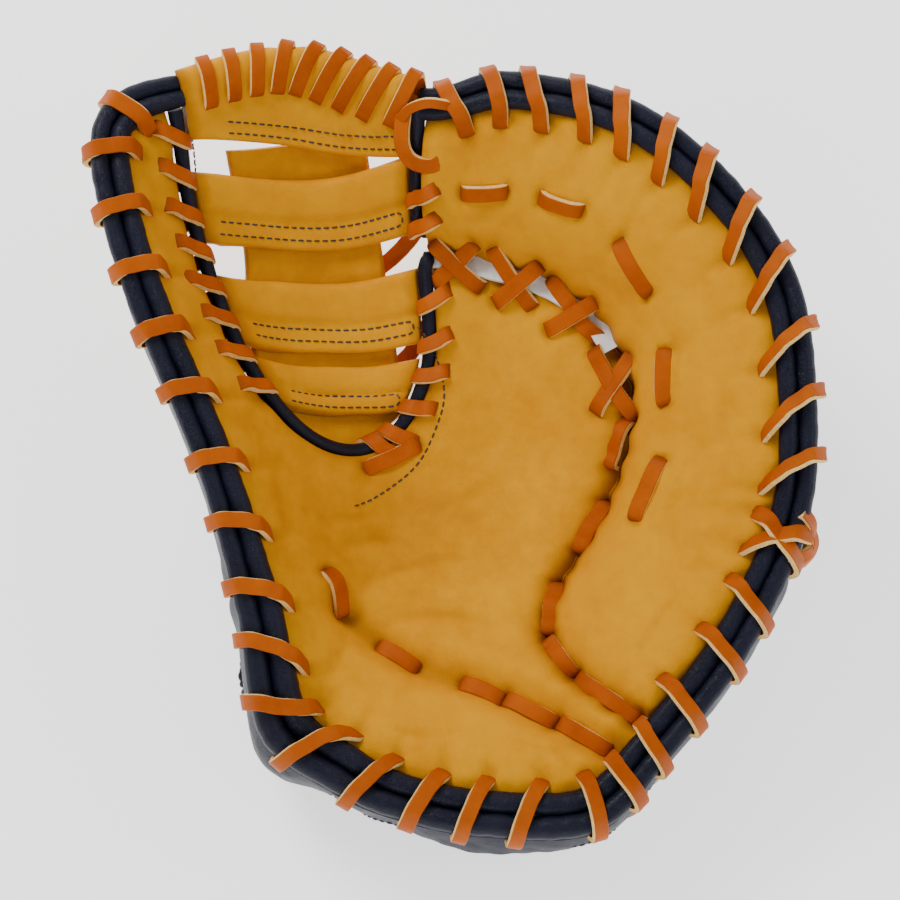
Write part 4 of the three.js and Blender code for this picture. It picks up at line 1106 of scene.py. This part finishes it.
inner_line = Line(inner_loop, web_middle)
reach = np.array([CROTCH_X - 90.0, CROTCH_X + 60.0])
bar_loops = [np.vstack([bar_line(a, w, -1, reach), bar_line(a, w, 1, reach[::-1])]) for _, _, a, w in BARS]
web_flat, web_triangles = net([inner_loop, band_loop, *bar_loops], WEB_STEP, (0.3, 0.8, 1.5))
web_middles = web_flat[web_triangles].mean(1)
in_u, in_band = within(inner_loop, web_middles), within(band_loop, web_middles)
for (name, node, along, width), loop in zip(BARS, bar_loops):
    pile = Pile()
    picked = web_triangles[in_u & ~in_band & within(loop, web_middles)]
    # The last argument is painted shade: darker near the U, where the strap tucks under the roll.
    add_sheet(pile, web_flat, picked, lambda xy: on_pocket(xy, -BAR_DROP),
              lambda xy, a=along, w=width: bar_relief(xy, a, w),
              lambda xy, a=along, w=width: BAR_THICKNESS - 1.9 + 1.7 * round_half(bar_share(xy, a, w)),
              lambda xy: np.clip(0.35 + inner_line.near(xy)[0] / 9, 0, 1))
    make_piece(name, pile, [GOLDEN], "golden_leather", node)

# %% [markdown]
# ## What the straps are sewn with
# Each strap has one long loop of stitches, which turns round near the fingers' side. The
# leather is folded behind, so its raw grey edge and the same stitches show from the back.

# %% The long loops of stitches on the straps, and their raw edges behind
SEWN_SHARE, LOOP_HALF = -0.5, 2.1
front_rows, back_rows, raw = [], [], Pile()
for name, _, along, width in BARS:
    xs = np.linspace(reach[0], reach[1], 900)
    line = bar_line(along, width, SEWN_SHARE, xs)
    xs = xs[within(inner_loop, line) & ~within(band_loop, line)]
    xs = np.linspace(xs[0] + 6, xs[-1] - 4.5, 60)
    apart = LOOP_HALF / (WEB_DEPTH * width / 2)
    half_turn = np.linspace(math.pi / 2, -math.pi / 2, 9)[:, None]
    end = bar_line(along, width, SEWN_SHARE, xs[-1:]) + LOOP_HALF * np.c_[np.cos(half_turn), np.sin(half_turn)]
    loop = np.vstack([bar_line(along, width, SEWN_SHARE + apart, xs), end,
                      bar_line(along, width, SEWN_SHARE - apart, xs[::-1])])
    front_rows.append((on_pocket(loop, -BAR_DROP + bar_relief(loop, along, width)), pocket_normal(loop)))
    under = -BAR_DROP - BAR_THICKNESS + 1.8
    back_rows.append((on_pocket(loop, under), -pocket_normal(loop)))
    edge = bar_line(along, width, -0.2, xs)
    raw.sweep(on_pocket(edge, under - 0.4), np.tile([0, 1, 0], (60, 1)),
              [(1.0, 0.5), (-1.0, 0.5), (-1.0, -0.7), (1.0, -0.7)])
sewn("bar_stitches", front_rows)
sewn("bar_stitches_behind", back_rows)
make_piece("bar_raw_edges", raw, [GREY_EDGE], "golden_leather")


# %% [markdown]
# ## The band
# The band is one fold of leather over the top of the web. It is fuller in its middle, has
# a groove along the low edge, and puckers at the holes of the lace that goes round it.

# %% The band across the top, sewn twice along its low edge
def band_relief(xy):
    top_gap, low_gap = band_top.near(xy)[0], band_low.near(xy)[0]
    tube = np.clip(top_gap / 20, 0, 1)
    total = 0.9 * np.sin(math.pi * tube) ** 0.8 - rounding(top_gap, 3.2) - rounding(low_gap, 1.8)
    total -= 0.6 * hump(low_gap - 4.0, 2.6)
    places = band_top.at(BAND_HOLES, 12.5)
    return total + dimples(xy, places[:, :2], places[:, -2:], 4.5, 2.6, 1.3) + 0.3 * hills(xy, 24, 77)


BAND_HOLES = np.linspace(0.07, 0.91, 9) * band_top.length
pile = Pile()
# The last argument is painted shade: darker near the U, where the band tucks under the roll.
add_sheet(pile, web_flat, web_triangles[in_u & in_band], lambda xy: on_pocket(xy, -BAND_DROP), band_relief,
          BAND_THICKNESS - 0.4, lambda xy: np.clip(0.3 + inner_line.near(xy)[0] / 8, 0, 1))
make_piece("top_band", pile, [GOLDEN], "golden_leather", "web_band")
low_run = np.linspace(14, band_low.length - 8, 70)
low_row, high_row = [band_low.at(low_run, inset)[:, :2] for inset in (2.6, 6.2)]
half_turn = np.linspace(0, math.pi, 8)
tip = band_low.at(low_run[-1:], 4.4)[0]
tip_turn = tip[:2] + 1.8 * (np.outer(np.sin(half_turn), tip[2:4]) - np.outer(np.cos(half_turn), tip[4:6]))
row = np.vstack([low_row, tip_turn, high_row[::-1]])
sewn("band_stitches", [(on_pocket(row, -BAND_DROP + band_relief(row)), pocket_normal(row))])

# %% [markdown]
# ## The post
# A wide post stands behind the straps from the bottom of the U to the band. It shows in
# the gaps between them, and from the back its four rows of stitches and raw edge show.

# %% The post behind the straps
post_foot = np.array([CROTCH_X, CROTCH_Y])
post_head = post_foot + [WEB_WIDTH * POST_LEAN, WEB_DEPTH * POST_REACH]
post_ahead = (post_head - post_foot) / np.linalg.norm(post_head - post_foot)
post_side = np.array([post_ahead[1], -post_ahead[0]])
post_loop = np.array([post_foot - post_side * POST_WIDTH / 2, post_foot + post_side * POST_WIDTH / 2,
                      post_head + post_side * POST_WIDTH / 2, post_head - post_side * POST_WIDTH / 2])
POST_TOP = -BAR_DROP - BAR_THICKNESS - CLEARANCE


def post_relief(xy):
    off = np.abs((xy - post_foot) @ post_side)
    return 0.2 * hills(xy, 24, 55) - rounding(POST_WIDTH / 2 - off, 1.4)


post_flat, post_triangles = net([post_loop, inner_loop], POST_STEP, (0.3, 0.9))
post_middles = post_flat[post_triangles].mean(1)
pile = Pile()
# The open value of 0.85 is painted shade on the post behind the straps.
add_sheet(pile, post_flat, post_triangles[within(post_loop, post_middles) & within(inner_loop, post_middles)],
          lambda xy: on_pocket(xy, POST_TOP), post_relief, POST_THICKNESS - 0.5, 0.85)
make_piece("broad_post", pile, [GOLDEN], "golden_leather", "web_post")
post_run = np.linspace(9, np.linalg.norm(post_head - post_foot) - 3, 50)[:, None]
post_rows = []
for off in (-7.5, -4.5, 4.5, 7.5):
    line = post_foot + post_ahead * post_run + post_side * off
    post_rows.append((on_pocket(line, POST_TOP - POST_THICKNESS + 0.5), -pocket_normal(line)))
sewn("post_stitches", post_rows)
pile = Pile()
line = post_foot + post_ahead * post_run
pile.sweep(on_pocket(line, POST_TOP - POST_THICKNESS + 0.2), np.tile(np.r_[post_side, 0], (50, 1)),
           [(1.3, 0.4), (-1.3, 0.4), (-1.3, -0.5), (1.3, -0.5)])
make_piece("post_raw_edge", pile, [GREY_EDGE], "golden_leather")

# %% [markdown]
# ## The roll and the laces of the web
# A thin navy roll binds the U in two lengths. Laces bind it to the palm: each comes out of
# a hole, passes over the roll and goes down inside the web. Another lace spirals over the
# top edge of the band.

# %% The roll in the U
seam_place = web.near(seam.points[:1, :2])[1][0]


def web_roll(pile, first, last, curl, seed):
    """One length of roll. Curl bends the end at the seam into it."""
    run = np.linspace(first, last, 160)
    at = web.at(run)
    out = -WEB_ROLL / 2 - 2.6 * sum(blend(1 - np.abs(run - c) / 7) for c in curl)
    xy = at[:, :2] + at[:, -2:] * out[:, None]
    path = np.c_[xy, pocket_height(xy) - 2.2 - 2.5 * sum(blend(1 - np.abs(run - c) / 6) for c in curl)]
    sides = np.c_[at[:, -2:], np.zeros(len(run))]
    pinches = sum(hump(run - wrap, 3.0) for wrap in WEB_WRAPS)
    ripple = hills(np.c_[run, run * 0], 14, seed)
    taper = 1 - 0.35 * sum(blend(1 - np.abs(run - c) / 3) for c in curl)
    pile.sweep(path, sides, circle(2.75, 12), (1 - 0.08 * pinches + 0.03 * ripple) * taper)


def run_of(places):
    return web.near(np.array(places, float))[1]


FINGER_WRAPS = run_of([(-28, 239), (-27, 230), (-24, 206), (-23, 193), (-23, 182), (-28, 171), (-34, 161),
                       (-37, 152)])
THUMB_WRAPS = np.linspace(web.length * 0.60, web.length * 0.90, 8)
WEB_WRAPS = np.r_[FINGER_WRAPS, THUMB_WRAPS]
pile = Pile()
first_run, last_run = run_of([(-27, 262)])[0], run_of([(-112, 264)])[0]
web_roll(pile, first_run, seam_place - 2.5, [seam_place - 2.5], 61)
web_roll(pile, seam_place + 2.5, last_run, [seam_place + 2.5], 62)
make_piece("u_roll", pile, [NAVY], "navy_leather", "web_edge_roll", sharp=80)


# %% [markdown]
# ## Laces over the roll
# Each wrap starts in a hole of the palm, lies over the roll and goes down inside the web,
# where it ends behind the palm. The first places are heights off the dressed palm, and the
# others are off the plain pocket, because there is no palm inside the U.

# %% Laces over the roll
# Share of the skew, mm out from the U and mm of lift: first off the palm, then off the pocket
FROM_THE_PALM = [(-0.1, 10.5, -4.5), (-0.1, 10.3, -0.7), (0.0, 8.9, 1.0), (0.3, 6.0, 1.3)]
OVER_U_ROLL = [(0.6, 2.5, 1.5), (0.85, -0.4, -0.4), (0.95, -1.1, -3.2), (1.0, -1.1, -8.5),
               (1.05, 0.0, -12.6), (1.15, 4.0, -13.6), (1.2, 9.0, -13.2)]


def web_wrap(pile, run, skew):
    places, sides = [], []
    for surface, rows in ((on_face, FROM_THE_PALM), (on_pocket, OVER_U_ROLL)):
        for along, out, lift in rows:
            at = web.at(run + along * skew)[0]
            places.append(surface(at[:2] - at[-2:] * out, lift)[0])
            sides.append(np.r_[at[2:4], 0])
    # Painted shade: darker where the strip leaves its hole and inside the web.
    lace(pile, places, sides, width=0.95, steps=3, open_=[0.1, 0.4, 0.9, 1, 1, 1, 0.9, 0.7, 0.8, 0.9, 0.5])


for name, node, wraps, skew in (("web_laces_finger_side", "web_lace_finger_side", FINGER_WRAPS, 4.5),
                                ("web_laces_thumb_side", "web_lace_thumb_side", THUMB_WRAPS, -4.5)):
    pile = Pile()
    for wrap in wraps:
        web_wrap(pile, wrap, skew)
    lace_piece(name, pile, node)

# %% [markdown]
# ## The spiral
# One lace winds round the band's top edge nine times. Its turns lean to the fingers' side,
# and they sit closer than the wraps of the rim.

# %% The spiral over the band's top edge
pile = Pile()
for hole in BAND_HOLES:
    places, sides = [], []
    for along, inset, rise in ((0, 12.6, -4), (0, 12.3, -0.8), (0.1, 11, 1.3), (0.5, 6.5, 1.9), (0.9, 2.0, 1.0),
                               (1.1, -0.6, -1.8), (1.3, -0.7, -4.6), (1.5, 2.5, -7.3), (2, 7, -7.6), (2, 11, -7.2)):
        at = band_top.at(hole + along * 3.4, inset)[0]
        places.append(on_pocket([at[:2]], rise - BAND_DROP)[0])
        sides.append(np.r_[at[2:4], -LACE_LEAN])
    # Painted shade: darker where the strip leaves its hole and behind the band.
    lace(pile, places, sides, width=0.88, steps=3, open_=[0.1, 0.4, 0.9, 1, 1, 1, 1, 0.9, 0.8, 0.5])
lace_piece("band_spiral", pile, "band_lace")

# %% [markdown]
# ## The back of the mitt
# The navy back stands like a bowl round the hand. Four pieces share it: the shell, the
# golden crescent round the web, the strap across the wrist and the facing under the heel.
# They are laid out on one flat net, where the distance from the pocket's middle is the way
# along the leather. So seams and cut lines can be drawn on it before it is bent up.


# %% The bowl, and how it unrolls
WALL = 110.0


def bowl_out(angle, lift):
    radius, share, belly = [read(angle, RIM_ANGLE, v) for v in (RIM_RADIUS, RIM_FOOT, RIM_BELLY)]
    turn = np.clip(lift, 0, 1) * math.pi / 2
    foot = radius * share
    return foot + (radius - CLEARANCE - foot) * np.sin(turn) + belly * BELLY_GAIN * np.sin(turn)**2 * np.cos(turn)


def bowl_foot(angle):
    return read(angle, RIM_ANGLE, RIM_RADIUS * RIM_FOOT)


def bowl_top(angle):
    return read(angle, RIM_ANGLE, RIM_Z - RIM_ROLLS / 2) - CLEARANCE * 4


def bowl(flat):
    """The flat net bent up: places on the outer face of the back."""
    angle, far = polar(flat)
    lift = (far - bowl_foot(angle)) / WALL
    out = np.where(lift < 0, far, bowl_out(angle, lift)) + np.maximum(lift - 1, 0) * WALL
    top = bowl_top(angle)
    xy = from_polar(angle, out)
    plain = top * (1 - np.cos(np.clip(lift, 0, 1) * math.pi / 2))
    near = 1 - blend(web_distance(xy) / BACK_BLEND)
    under = pocket_height(xy) - WEB_THICKNESS / pocket_normal(xy)[:, 2]
    return np.c_[xy, np.minimum(plain + near * np.maximum(under - plain, 0), top)]


def unrolled(xy):
    """Where places seen from above lie on the flat net."""
    angle, far = polar(xy)
    low, high = np.zeros(len(far)), np.ones(len(far))
    for _ in range(26):
        middle = (low + high) / 2
        short = bowl_out(angle, middle) < far
        low, high = np.where(short, middle, low), np.where(short, high, middle)
    foot, limit = bowl_foot(angle), bowl_out(angle, 1.0)
    along = np.where(far < foot, far, foot + low * WALL + np.maximum(far - limit, 0))
    return from_polar(angle, along)


def on_wall(x, z=None, lift=None):
    """Where places of the heel's wall lie on the net, from x and either height or lift."""
    angle = np.full(len(x), -1.6)
    for _ in range(25):
        up = np.arccos(1 - np.clip(z / bowl_top(angle), 0, 1)) * 2 / math.pi if lift is None else lift
        angle = -np.arccos(np.clip((x - POCKET_X) / bowl_out(angle, up), -1, 1))
    return from_polar(angle, bowl_foot(angle) + up * WALL)


def far_arc(first, last, count=14):
    """A row of places well outside the part, to close an outline."""
    return from_polar(np.linspace(first, last, count), 420)


print("the wall is", WALL, "mm along the leather")

# %% [markdown]
# ## The cut lines of the back
# The strap, the facing, the slot for the wrist, the oval opening and the golden crescent
# are outlines on the flat net. Those known from above or from the front are unrolled to it
# by halving steps, since the bowl's formula only goes the other way.

# %% The cut lines of the back
round_turn = np.linspace(-math.pi, math.pi, 360, endpoint=False)
rim_loop = from_polar(round_turn, bowl_foot(round_turn) + WALL)
strap_half, split = STRAP_LENGTH / 2, WRIST_LIP + WRIST_HEIGHT - LINING_DROP
lifts = np.linspace(1.02, 0, 60)
left, right = on_wall(np.full(60, -strap_half), lift=lifts), on_wall(np.full(60, strap_half), lift=lifts)
left = left[bowl(left)[:, 1] < STRAP_WIDTH]
right = right[bowl(right)[:, 1] < STRAP_WIDTH]
across = unrolled(np.c_[np.linspace(-strap_half, strap_half, 60), np.full(60, STRAP_WIDTH)])
strap_loop = np.vstack([left, across, right[::-1], far_arc(-0.5, -1.9)])
split_line = on_wall(np.linspace(-strap_half - 14, strap_half + 14, 60), z=np.full(60, split + 0.2))
lining_loop = np.vstack([split_line, far_arc(-0.4, -2.0)])
slot_turn = np.linspace(0, TURN, 72, endpoint=False)
slot_half = WRIST_WIDTH / 2 - WRIST_HEIGHT / 2
slot_x = np.sign(np.cos(slot_turn)) * slot_half + np.cos(slot_turn) * WRIST_HEIGHT / 2
slot_z = WRIST_LIP + WRIST_HEIGHT / 2 + np.sin(slot_turn) * WRIST_HEIGHT / 2
slot_loop = on_wall(slot_x, z=slot_z)
oval_turn = np.linspace(0, TURN, 90, endpoint=False)
oval = np.c_[OPENING_X + np.cos(oval_turn) * OPENING_WIDTH / 2, OPENING_Y + np.sin(oval_turn) * OPENING_LENGTH / 2]
oval_line = Line(oval, (OPENING_X, OPENING_Y), True)
hand_loop = unrolled(oval - oval_line.normal * (BINDING_RADIUS + 0.2))
crescent_side = CRESCENT_SIDE + (CRESCENT_BASE - CRESCENT_SIDE) * np.sin(math.pi * u_runs / web.length)**2
crescent_side *= 1 - 0.78 * blend((u_runs / web.length - 0.40) / 0.22)
crescent_loop = unrolled(web.at(u_runs, -crescent_side)[:, :2])
notch_loop = unrolled(web.at(u_runs, -WEB_ROLL)[:, :2])
back_lines = {name: Line(loop, loop.mean(0), True) for name, loop in (
    ("strap", strap_loop), ("slot", slot_loop), ("hand", hand_loop), ("crescent", crescent_loop),
    ("notch", notch_loop))}
print("strap", round(STRAP_LENGTH), "mm, hand opening", round(OPENING_WIDTH), "by", round(OPENING_LENGTH), "mm")

# %% [markdown]
# ## The back's relief
# The back is stiff navy leather. It sinks along the seams between the finger stalls, puffs
# beside them and is rounded at each cut. Where the mitt rests, it stays flat.

# %% The back's relief
# Rows over the bench, seen from above, of the seams between the finger stalls
STALL_SEAMS = [
    [(14, 107), (17, 130), (16, 152), (12, 176)], [(34, 98), (62, 118), (88, 140), (112, 162)],
    [(36, 84), (66, 86), (94, 92), (120, 100)], [(26, 106), (52, 140), (76, 178), (92, 216)],
    [(-50, 90), (-74, 84), (-92, 88), (-104, 100)],
]
seam_lines = [Line(unrolled(smooth(rows, 12)), (0, 0)) for rows in STALL_SEAMS]


def back_relief(flat):
    total = 0.8 * hills(flat, 46, 91) + 0.3 * hills(flat, 15, 92)
    for line in seam_lines:
        far = line.near(flat)[0]
        total -= 2.2 * hump(far, 3.2) - 0.9 * hump(far - 9, 6)
    for line in back_lines.values():
        total -= rounding(line.near(flat)[0], 1.3)
    angle, far = polar(flat)
    up = far - bowl_foot(angle)
    total *= blend((WALL - up) / 10)
    return np.where(total > 0, total * blend(up / 26), total) - 0.25


# Painted shade: the back darkens in its seams and at its cut lines.
def back_open(flat):
    near = np.min([line.near(flat)[0] for line in [*seam_lines, *back_lines.values()]], axis=0)
    return np.clip(0.25 + near / 6, 0, 1)


print("seams of the back:", len(seam_lines))

# %% [markdown]
# ## Four pieces from one net
# Every triangle of the net goes to one piece, by what outline its middle is in. So the
# pieces meet without a gap, each with its own finish and its own dark inside.

# %% Cutting out the four pieces
loops = [rim_loop, strap_loop, lining_loop, slot_loop, hand_loop, crescent_loop, notch_loop]
back_flat, back_triangles = net(loops, BACK_STEP, (0.4, 1.1))
middles = back_flat[back_triangles].mean(1)
whole = within(rim_loop, middles) & ~within(slot_loop, middles) & ~within(notch_loop, middles)
in_strap, in_lining = within(strap_loop, middles), within(lining_loop, middles)
in_crescent = within(crescent_loop, middles)
SHARES = [
    ("back_pad", "back_shell", NAVY, "navy_leather", ~in_strap & ~in_crescent & ~within(hand_loop, middles)),
    ("golden_back", "back_crescent", GOLDEN, "golden_leather", in_crescent & ~in_strap),
    ("strap", "wrist_strap", NAVY, "navy_leather", in_strap & ~in_lining),
    ("facing", "heel_lining", NAVY, "navy_leather", in_strap & in_lining),
]
for name, node, finish, slot, share in SHARES:
    pile = Pile()
    # back_open paints shade along the seams and cut lines of each piece.
    add_sheet(pile, back_flat, back_triangles[whole & share], bowl, back_relief, SHELL_WALL - 0.4, back_open, -1.0, 1)
    make_piece(name, pile, [finish, LINING], slot, node)


# %% [markdown]
# ## Binding, piping and stitches
# The oval opening is bound with a thin roll, and one seam has a light piping cord sewn in.
# Both are swept along their lines. The stitches run twice along the crescent's edge, and
# once round the oval and the wrist opening.

# %% Binding, piping and stitches of the back
def on_bowl(flat, lift):
    """Places on the back's outer face and the directions away from it."""
    normal = facing_out(bowl, flat, -1.0)
    return bowl(flat) + normal * (back_relief(flat) + lift)[:, None], normal


pile = Pile()
ripple = 1 + 0.03 * np.sin(oval_turn * 23) + 0.02 * np.sin(oval_turn * 41 + 1)
pile.sweep(np.c_[oval, np.full(90, BINDING_RADIUS)], np.c_[oval_line.normal, np.zeros(90)],
           circle(BINDING_RADIUS - 0.1, 14), ripple * 0.99, closed=True)
make_piece("rolled_binding", pile, [NAVY], "navy_leather", "opening_binding", sharp=80)

pile = Pile()
for rows in STALL_SEAMS[:1] + [[(strap_half + 0.6, 44), (strap_half + 1.2, 34), (strap_half + 0.8, 25)]]:
    place, normal = on_bowl(resample(unrolled(smooth(rows, 12)), 1.5)[: 40], 0.5)
    pile.sweep(place, normal, circle(0.75, 8))
make_piece("piping_seams", pile, [PIPING], "piping")

crescent_line = back_lines["crescent"]
rows = []
for inset in (3.0, 6.2):
    line = crescent_line.points + crescent_line.normal * inset
    line = line[within(rim_loop, line)]
    rows.append(on_bowl(line, 0.0))
hand_line = back_lines["hand"]
ring = hand_line.points - hand_line.normal * 3.2
rows.append(on_bowl(np.vstack([ring, ring[:1]]), 0.0))
sewn("back_stitches", rows)
slot_line = back_lines["slot"]
ring = slot_line.points - slot_line.normal * 3.5
sewn("strap_stitches", [on_bowl(np.vstack([ring, ring[:1]]), 0.0)])

# %% [markdown]
# ## Loops, knots and the padding that shows
# White padding shows through the open top of the seam. At the web's corner a lace goes
# round the rolls twice. On the little finger's side two ends meet in a knot, and thin dark
# laces behind the hand are knotted to draw the mitt tight. A knot is modelled as what the
# eye reads: a strip bent over itself, a hump where it passes under, and two ends.


# %% Padding, corner loop and knots
pile = Pile()
pad_run = np.linspace(21, seam.length * 0.34, 60)
pile.sweep(on_pocket(seam.at(pad_run)[:, :2], -6.0), np.c_[seam.at(pad_run)[:, -2:], np.zeros(60)],
           [(5.0, 0.9), (-5.0, 0.9), (-5.0, -0.9), (5.0, -0.9)])
FELT = plain_finish("white_felt", (0.78, 0.77, 0.74), (0.92, 0.91, 0.88), 0.9, 300.0, 0.3)
make_piece("seam_padding", pile, [FELT], "golden_leather")


def bent(pile, rows, lean, width):
    """A strip through x, y and lift over the dressed face or, past its edge, the pocket."""
    rows = np.array(rows, float)
    flat_lace(pile, on_pocket(rows[:, :2], rows[:, 2]), pocket_normal(rows[:, :2]), lean, width=width)


pile = Pile()
bent(pile, [(-31, 264, -5), (-31.5, 260, 1.2), (-31, 253, 4.0), (-27.5, 248, 4.6), (-21, 246, 3.8),
            (-16.5, 248, 2.2), (-15, 251, -2)], (0, 0.3, 0.6), 0.95)
bent(pile, [(-35, 256, -4), (-33.5, 259, 1.2), (-29, 262, 2.4), (-23, 263, 2.2), (-17, 262, 1.6),
            (-13, 260, -2)], (0, -0.2, 0.6), 0.6)
lace_piece("corner_loop", pile)


def near_rim(share, inset, drop):
    at = rim.at(share * rim_run)[0]
    return np.r_[at[:2] + at[-2:] * inset, at[2] - drop]


def over_rim(pile, rows, width):
    """A strip through places outside the rim: share of its length, inset and drop in mm."""
    places = np.array([near_rim(*row) for row in rows])
    out = np.array([np.r_[-rim.at(row[0] * rim_run)[0][-2:], 0.5] for row in rows])
    flat_lace(pile, places, out, width=width)


pile = Pile()
over_rim(pile, [(0.322, 3, 0.2), (0.325, -1.2, 4), (0.329, -2.2, 8), (0.334, -2.4, 12), (0.339, -1.2, 15),
                (0.341, 2, 17)], 0.85)
over_rim(pile, [(0.342, 3, 0.4), (0.339, -1.6, 5), (0.334, -3.6, 9), (0.330, -3.4, 13), (0.324, -2.0, 17),
                (0.320, -1.0, 24)], 0.8)
over_rim(pile, [(0.325, -1.8, 11), (0.330, -4.0, 10), (0.335, -4.1, 11.5), (0.340, -2.0, 14)], 0.7)
lace_piece("finger_knot", pile)


# %% [markdown]
# ## Laces on the back
# These are told by an angle round the pocket and a share of the wall's height, which is how
# a maker would point at them: a crossing on the strap, two thin cords with their knots, and
# two long laces with a hitch in the middle that cross behind the web.


# %% Laces behind the hand and across the back of the web
def on_back(rows, lift):
    """Places on the wall from an angle round the pocket, in degrees, and the share of its height."""
    angle, share = np.radians(np.array(rows, float)[:, 0]), np.array(rows, float)[:, 1]
    return on_bowl(from_polar(angle, bowl_foot(angle) + share * WALL), lift)


def back_strip(pile, rows, lift, width=1.0):
    flat_lace(pile, *on_back(smooth(rows, 6), lift), width=width, steps=1)


pile = Pile()
back_strip(pile, [(-57, 0.50), (-53.5, 0.62), (-50, 0.74)], [-1.5] + [0.9] * 11 + [-1.5], 0.85)
back_strip(pile, [(-50, 0.50), (-53.5, 0.6), (-57, 0.72)], [-1.5, 0.9] + [2.4] * 9 + [0.9, -1.5], 0.85)
lace_piece("strap_crossing", pile)

pile = Pile()
for rows, knot in (([(-48, 0.62), (-38, 0.66), (-22, 0.64), (-6, 0.56)], (-27, 0.65)),
                   ([(-112, 0.5), (-122, 0.6), (-136, 0.6), (-150, 0.5)], (-129, 0.61))):
    place, normal = on_back(smooth(rows, 14), 1.1)
    pile.sweep(place, normal, circle(1.1, 8), 1 + 0.05 * np.sin(np.arange(len(place)) * 1.7))
    turn = np.linspace(0, TURN, 22, endpoint=False)
    for k, size in enumerate((3.0, 2.5, 2.8)):
        ring = np.c_[knot[0] + (k - 1) * 1.0 + size * 0.45 * np.cos(turn), knot[1] + size * 0.009 * np.sin(turn)]
        place, normal = on_back(ring, 2.4 + 1.1 * np.sin(turn * 2 + k))
        pile.sweep(place, normal, circle(1.25, 8), closed=True)
make_piece("drawing_laces", pile, [NAVY], "navy_leather", sharp=80)

BEHIND = -14.2
pile = Pile()
for first, last in (((-14, 236), (-104, 186)), ((-12, 204), (-92, 150))):
    t = np.linspace(0, 1, 26)[:, None]
    xy = np.array(first) + (np.array(last) - first) * t + np.c_[0 * t, -4 * np.sin(math.pi * t)]
    lift = BEHIND - 2.2 * hump(t[:, 0] - 0.5, 0.12)
    lift[[0, -1]] += 5
    flat_lace(pile, on_pocket(xy, lift), pocket_normal(xy), steps=1)
    knot = xy[13] + np.array([(-7, 9), (-4, 3), (1, -2), (7, -3), (10, 2), (6, 7)])
    places = on_pocket(knot, np.array([BEHIND - 0.6, -17.4, -18.4, -18.2, -17, BEHIND - 0.6]))
    flat_lace(pile, places, pocket_normal(knot))
lace_piece("web_crossing_laces", pile)

# %% [markdown]
# ## The studio
# The photograph looks down on the palm, 73 degrees above the horizon, from far off. The
# camera does the same with a long lens. One large soft light stands at the upper left, a
# weaker one fills from the right, a third lights the heel, and the floor is plain and pale.

# %% Camera, lights and floor
VIEW_HEIGHT, VIEW_DISTANCE, LENS = math.radians(73), 1.5, 162.0
TARGET = Vector((-0.001, 0.002, 0.058))
camera_data = bpy.data.cameras.new("camera")
camera_data.lens = LENS
camera_data.sensor_width = 36
camera = add_object("camera", camera_data)
back = Vector((0, -math.cos(VIEW_HEIGHT), math.sin(VIEW_HEIGHT)))
camera.location = TARGET + back * VIEW_DISTANCE
camera.rotation_euler = (-back).to_track_quat("-Z", "Y").to_euler()
bpy.context.scene.camera = camera


def soft_light(name, place, size, power, tone=(1, 1, 1)):
    data = bpy.data.lights.new(name, "AREA")
    data.shape, data.size, data.energy, data.color = "DISK", size, power, tone
    light = add_object(name, data)
    light.location = place
    light.rotation_euler = (Vector(place) - Vector((0, 0, 0.05))).to_track_quat("Z", "Y").to_euler()


soft_light("key", (-0.7, 0.75, 1.15), 0.7, 19.0, (1.0, 0.985, 0.96))
soft_light("fill", (1.0, -0.2, 0.8), 1.0, 5.0, (0.96, 0.98, 1.0))
soft_light("heel_light", (-0.2, -1.1, 0.55), 0.7, 5.0)
soft_light("back_light", (0.3, 1.2, 0.35), 0.7, 4.0)

world = bpy.data.worlds.new("studio")
world.use_nodes = True
sky = world.node_tree.nodes["Background"].inputs
sky["Color"].default_value = (0.94, 0.96, 1.0, 1)
sky["Strength"].default_value = 0.45
bpy.context.scene.world = world

floor_mesh = bpy.data.meshes.new("floor")
floor_mesh.from_pydata([(-4, -4, 0), (4, -4, 0), (4, 4, 0), (-4, 4, 0)], [], [(0, 1, 2, 3)])
floor_finish = plain_finish("pale_floor", (0.88, 0.88, 0.88), (0.90, 0.90, 0.90), 0.6, 3.0, 0.0)
glow = floor_finish.node_tree.nodes["Principled BSDF"]
glow.inputs["Emission Color"].default_value = (1.0, 1.0, 1.0, 1)
glow.inputs["Emission Strength"].default_value = 1.2
floor_mesh.materials.append(floor_finish)
floor = add_object("floor", floor_mesh)

print("lights:", len(bpy.data.lights), "camera", round(math.degrees(VIEW_HEIGHT)), "degrees up")
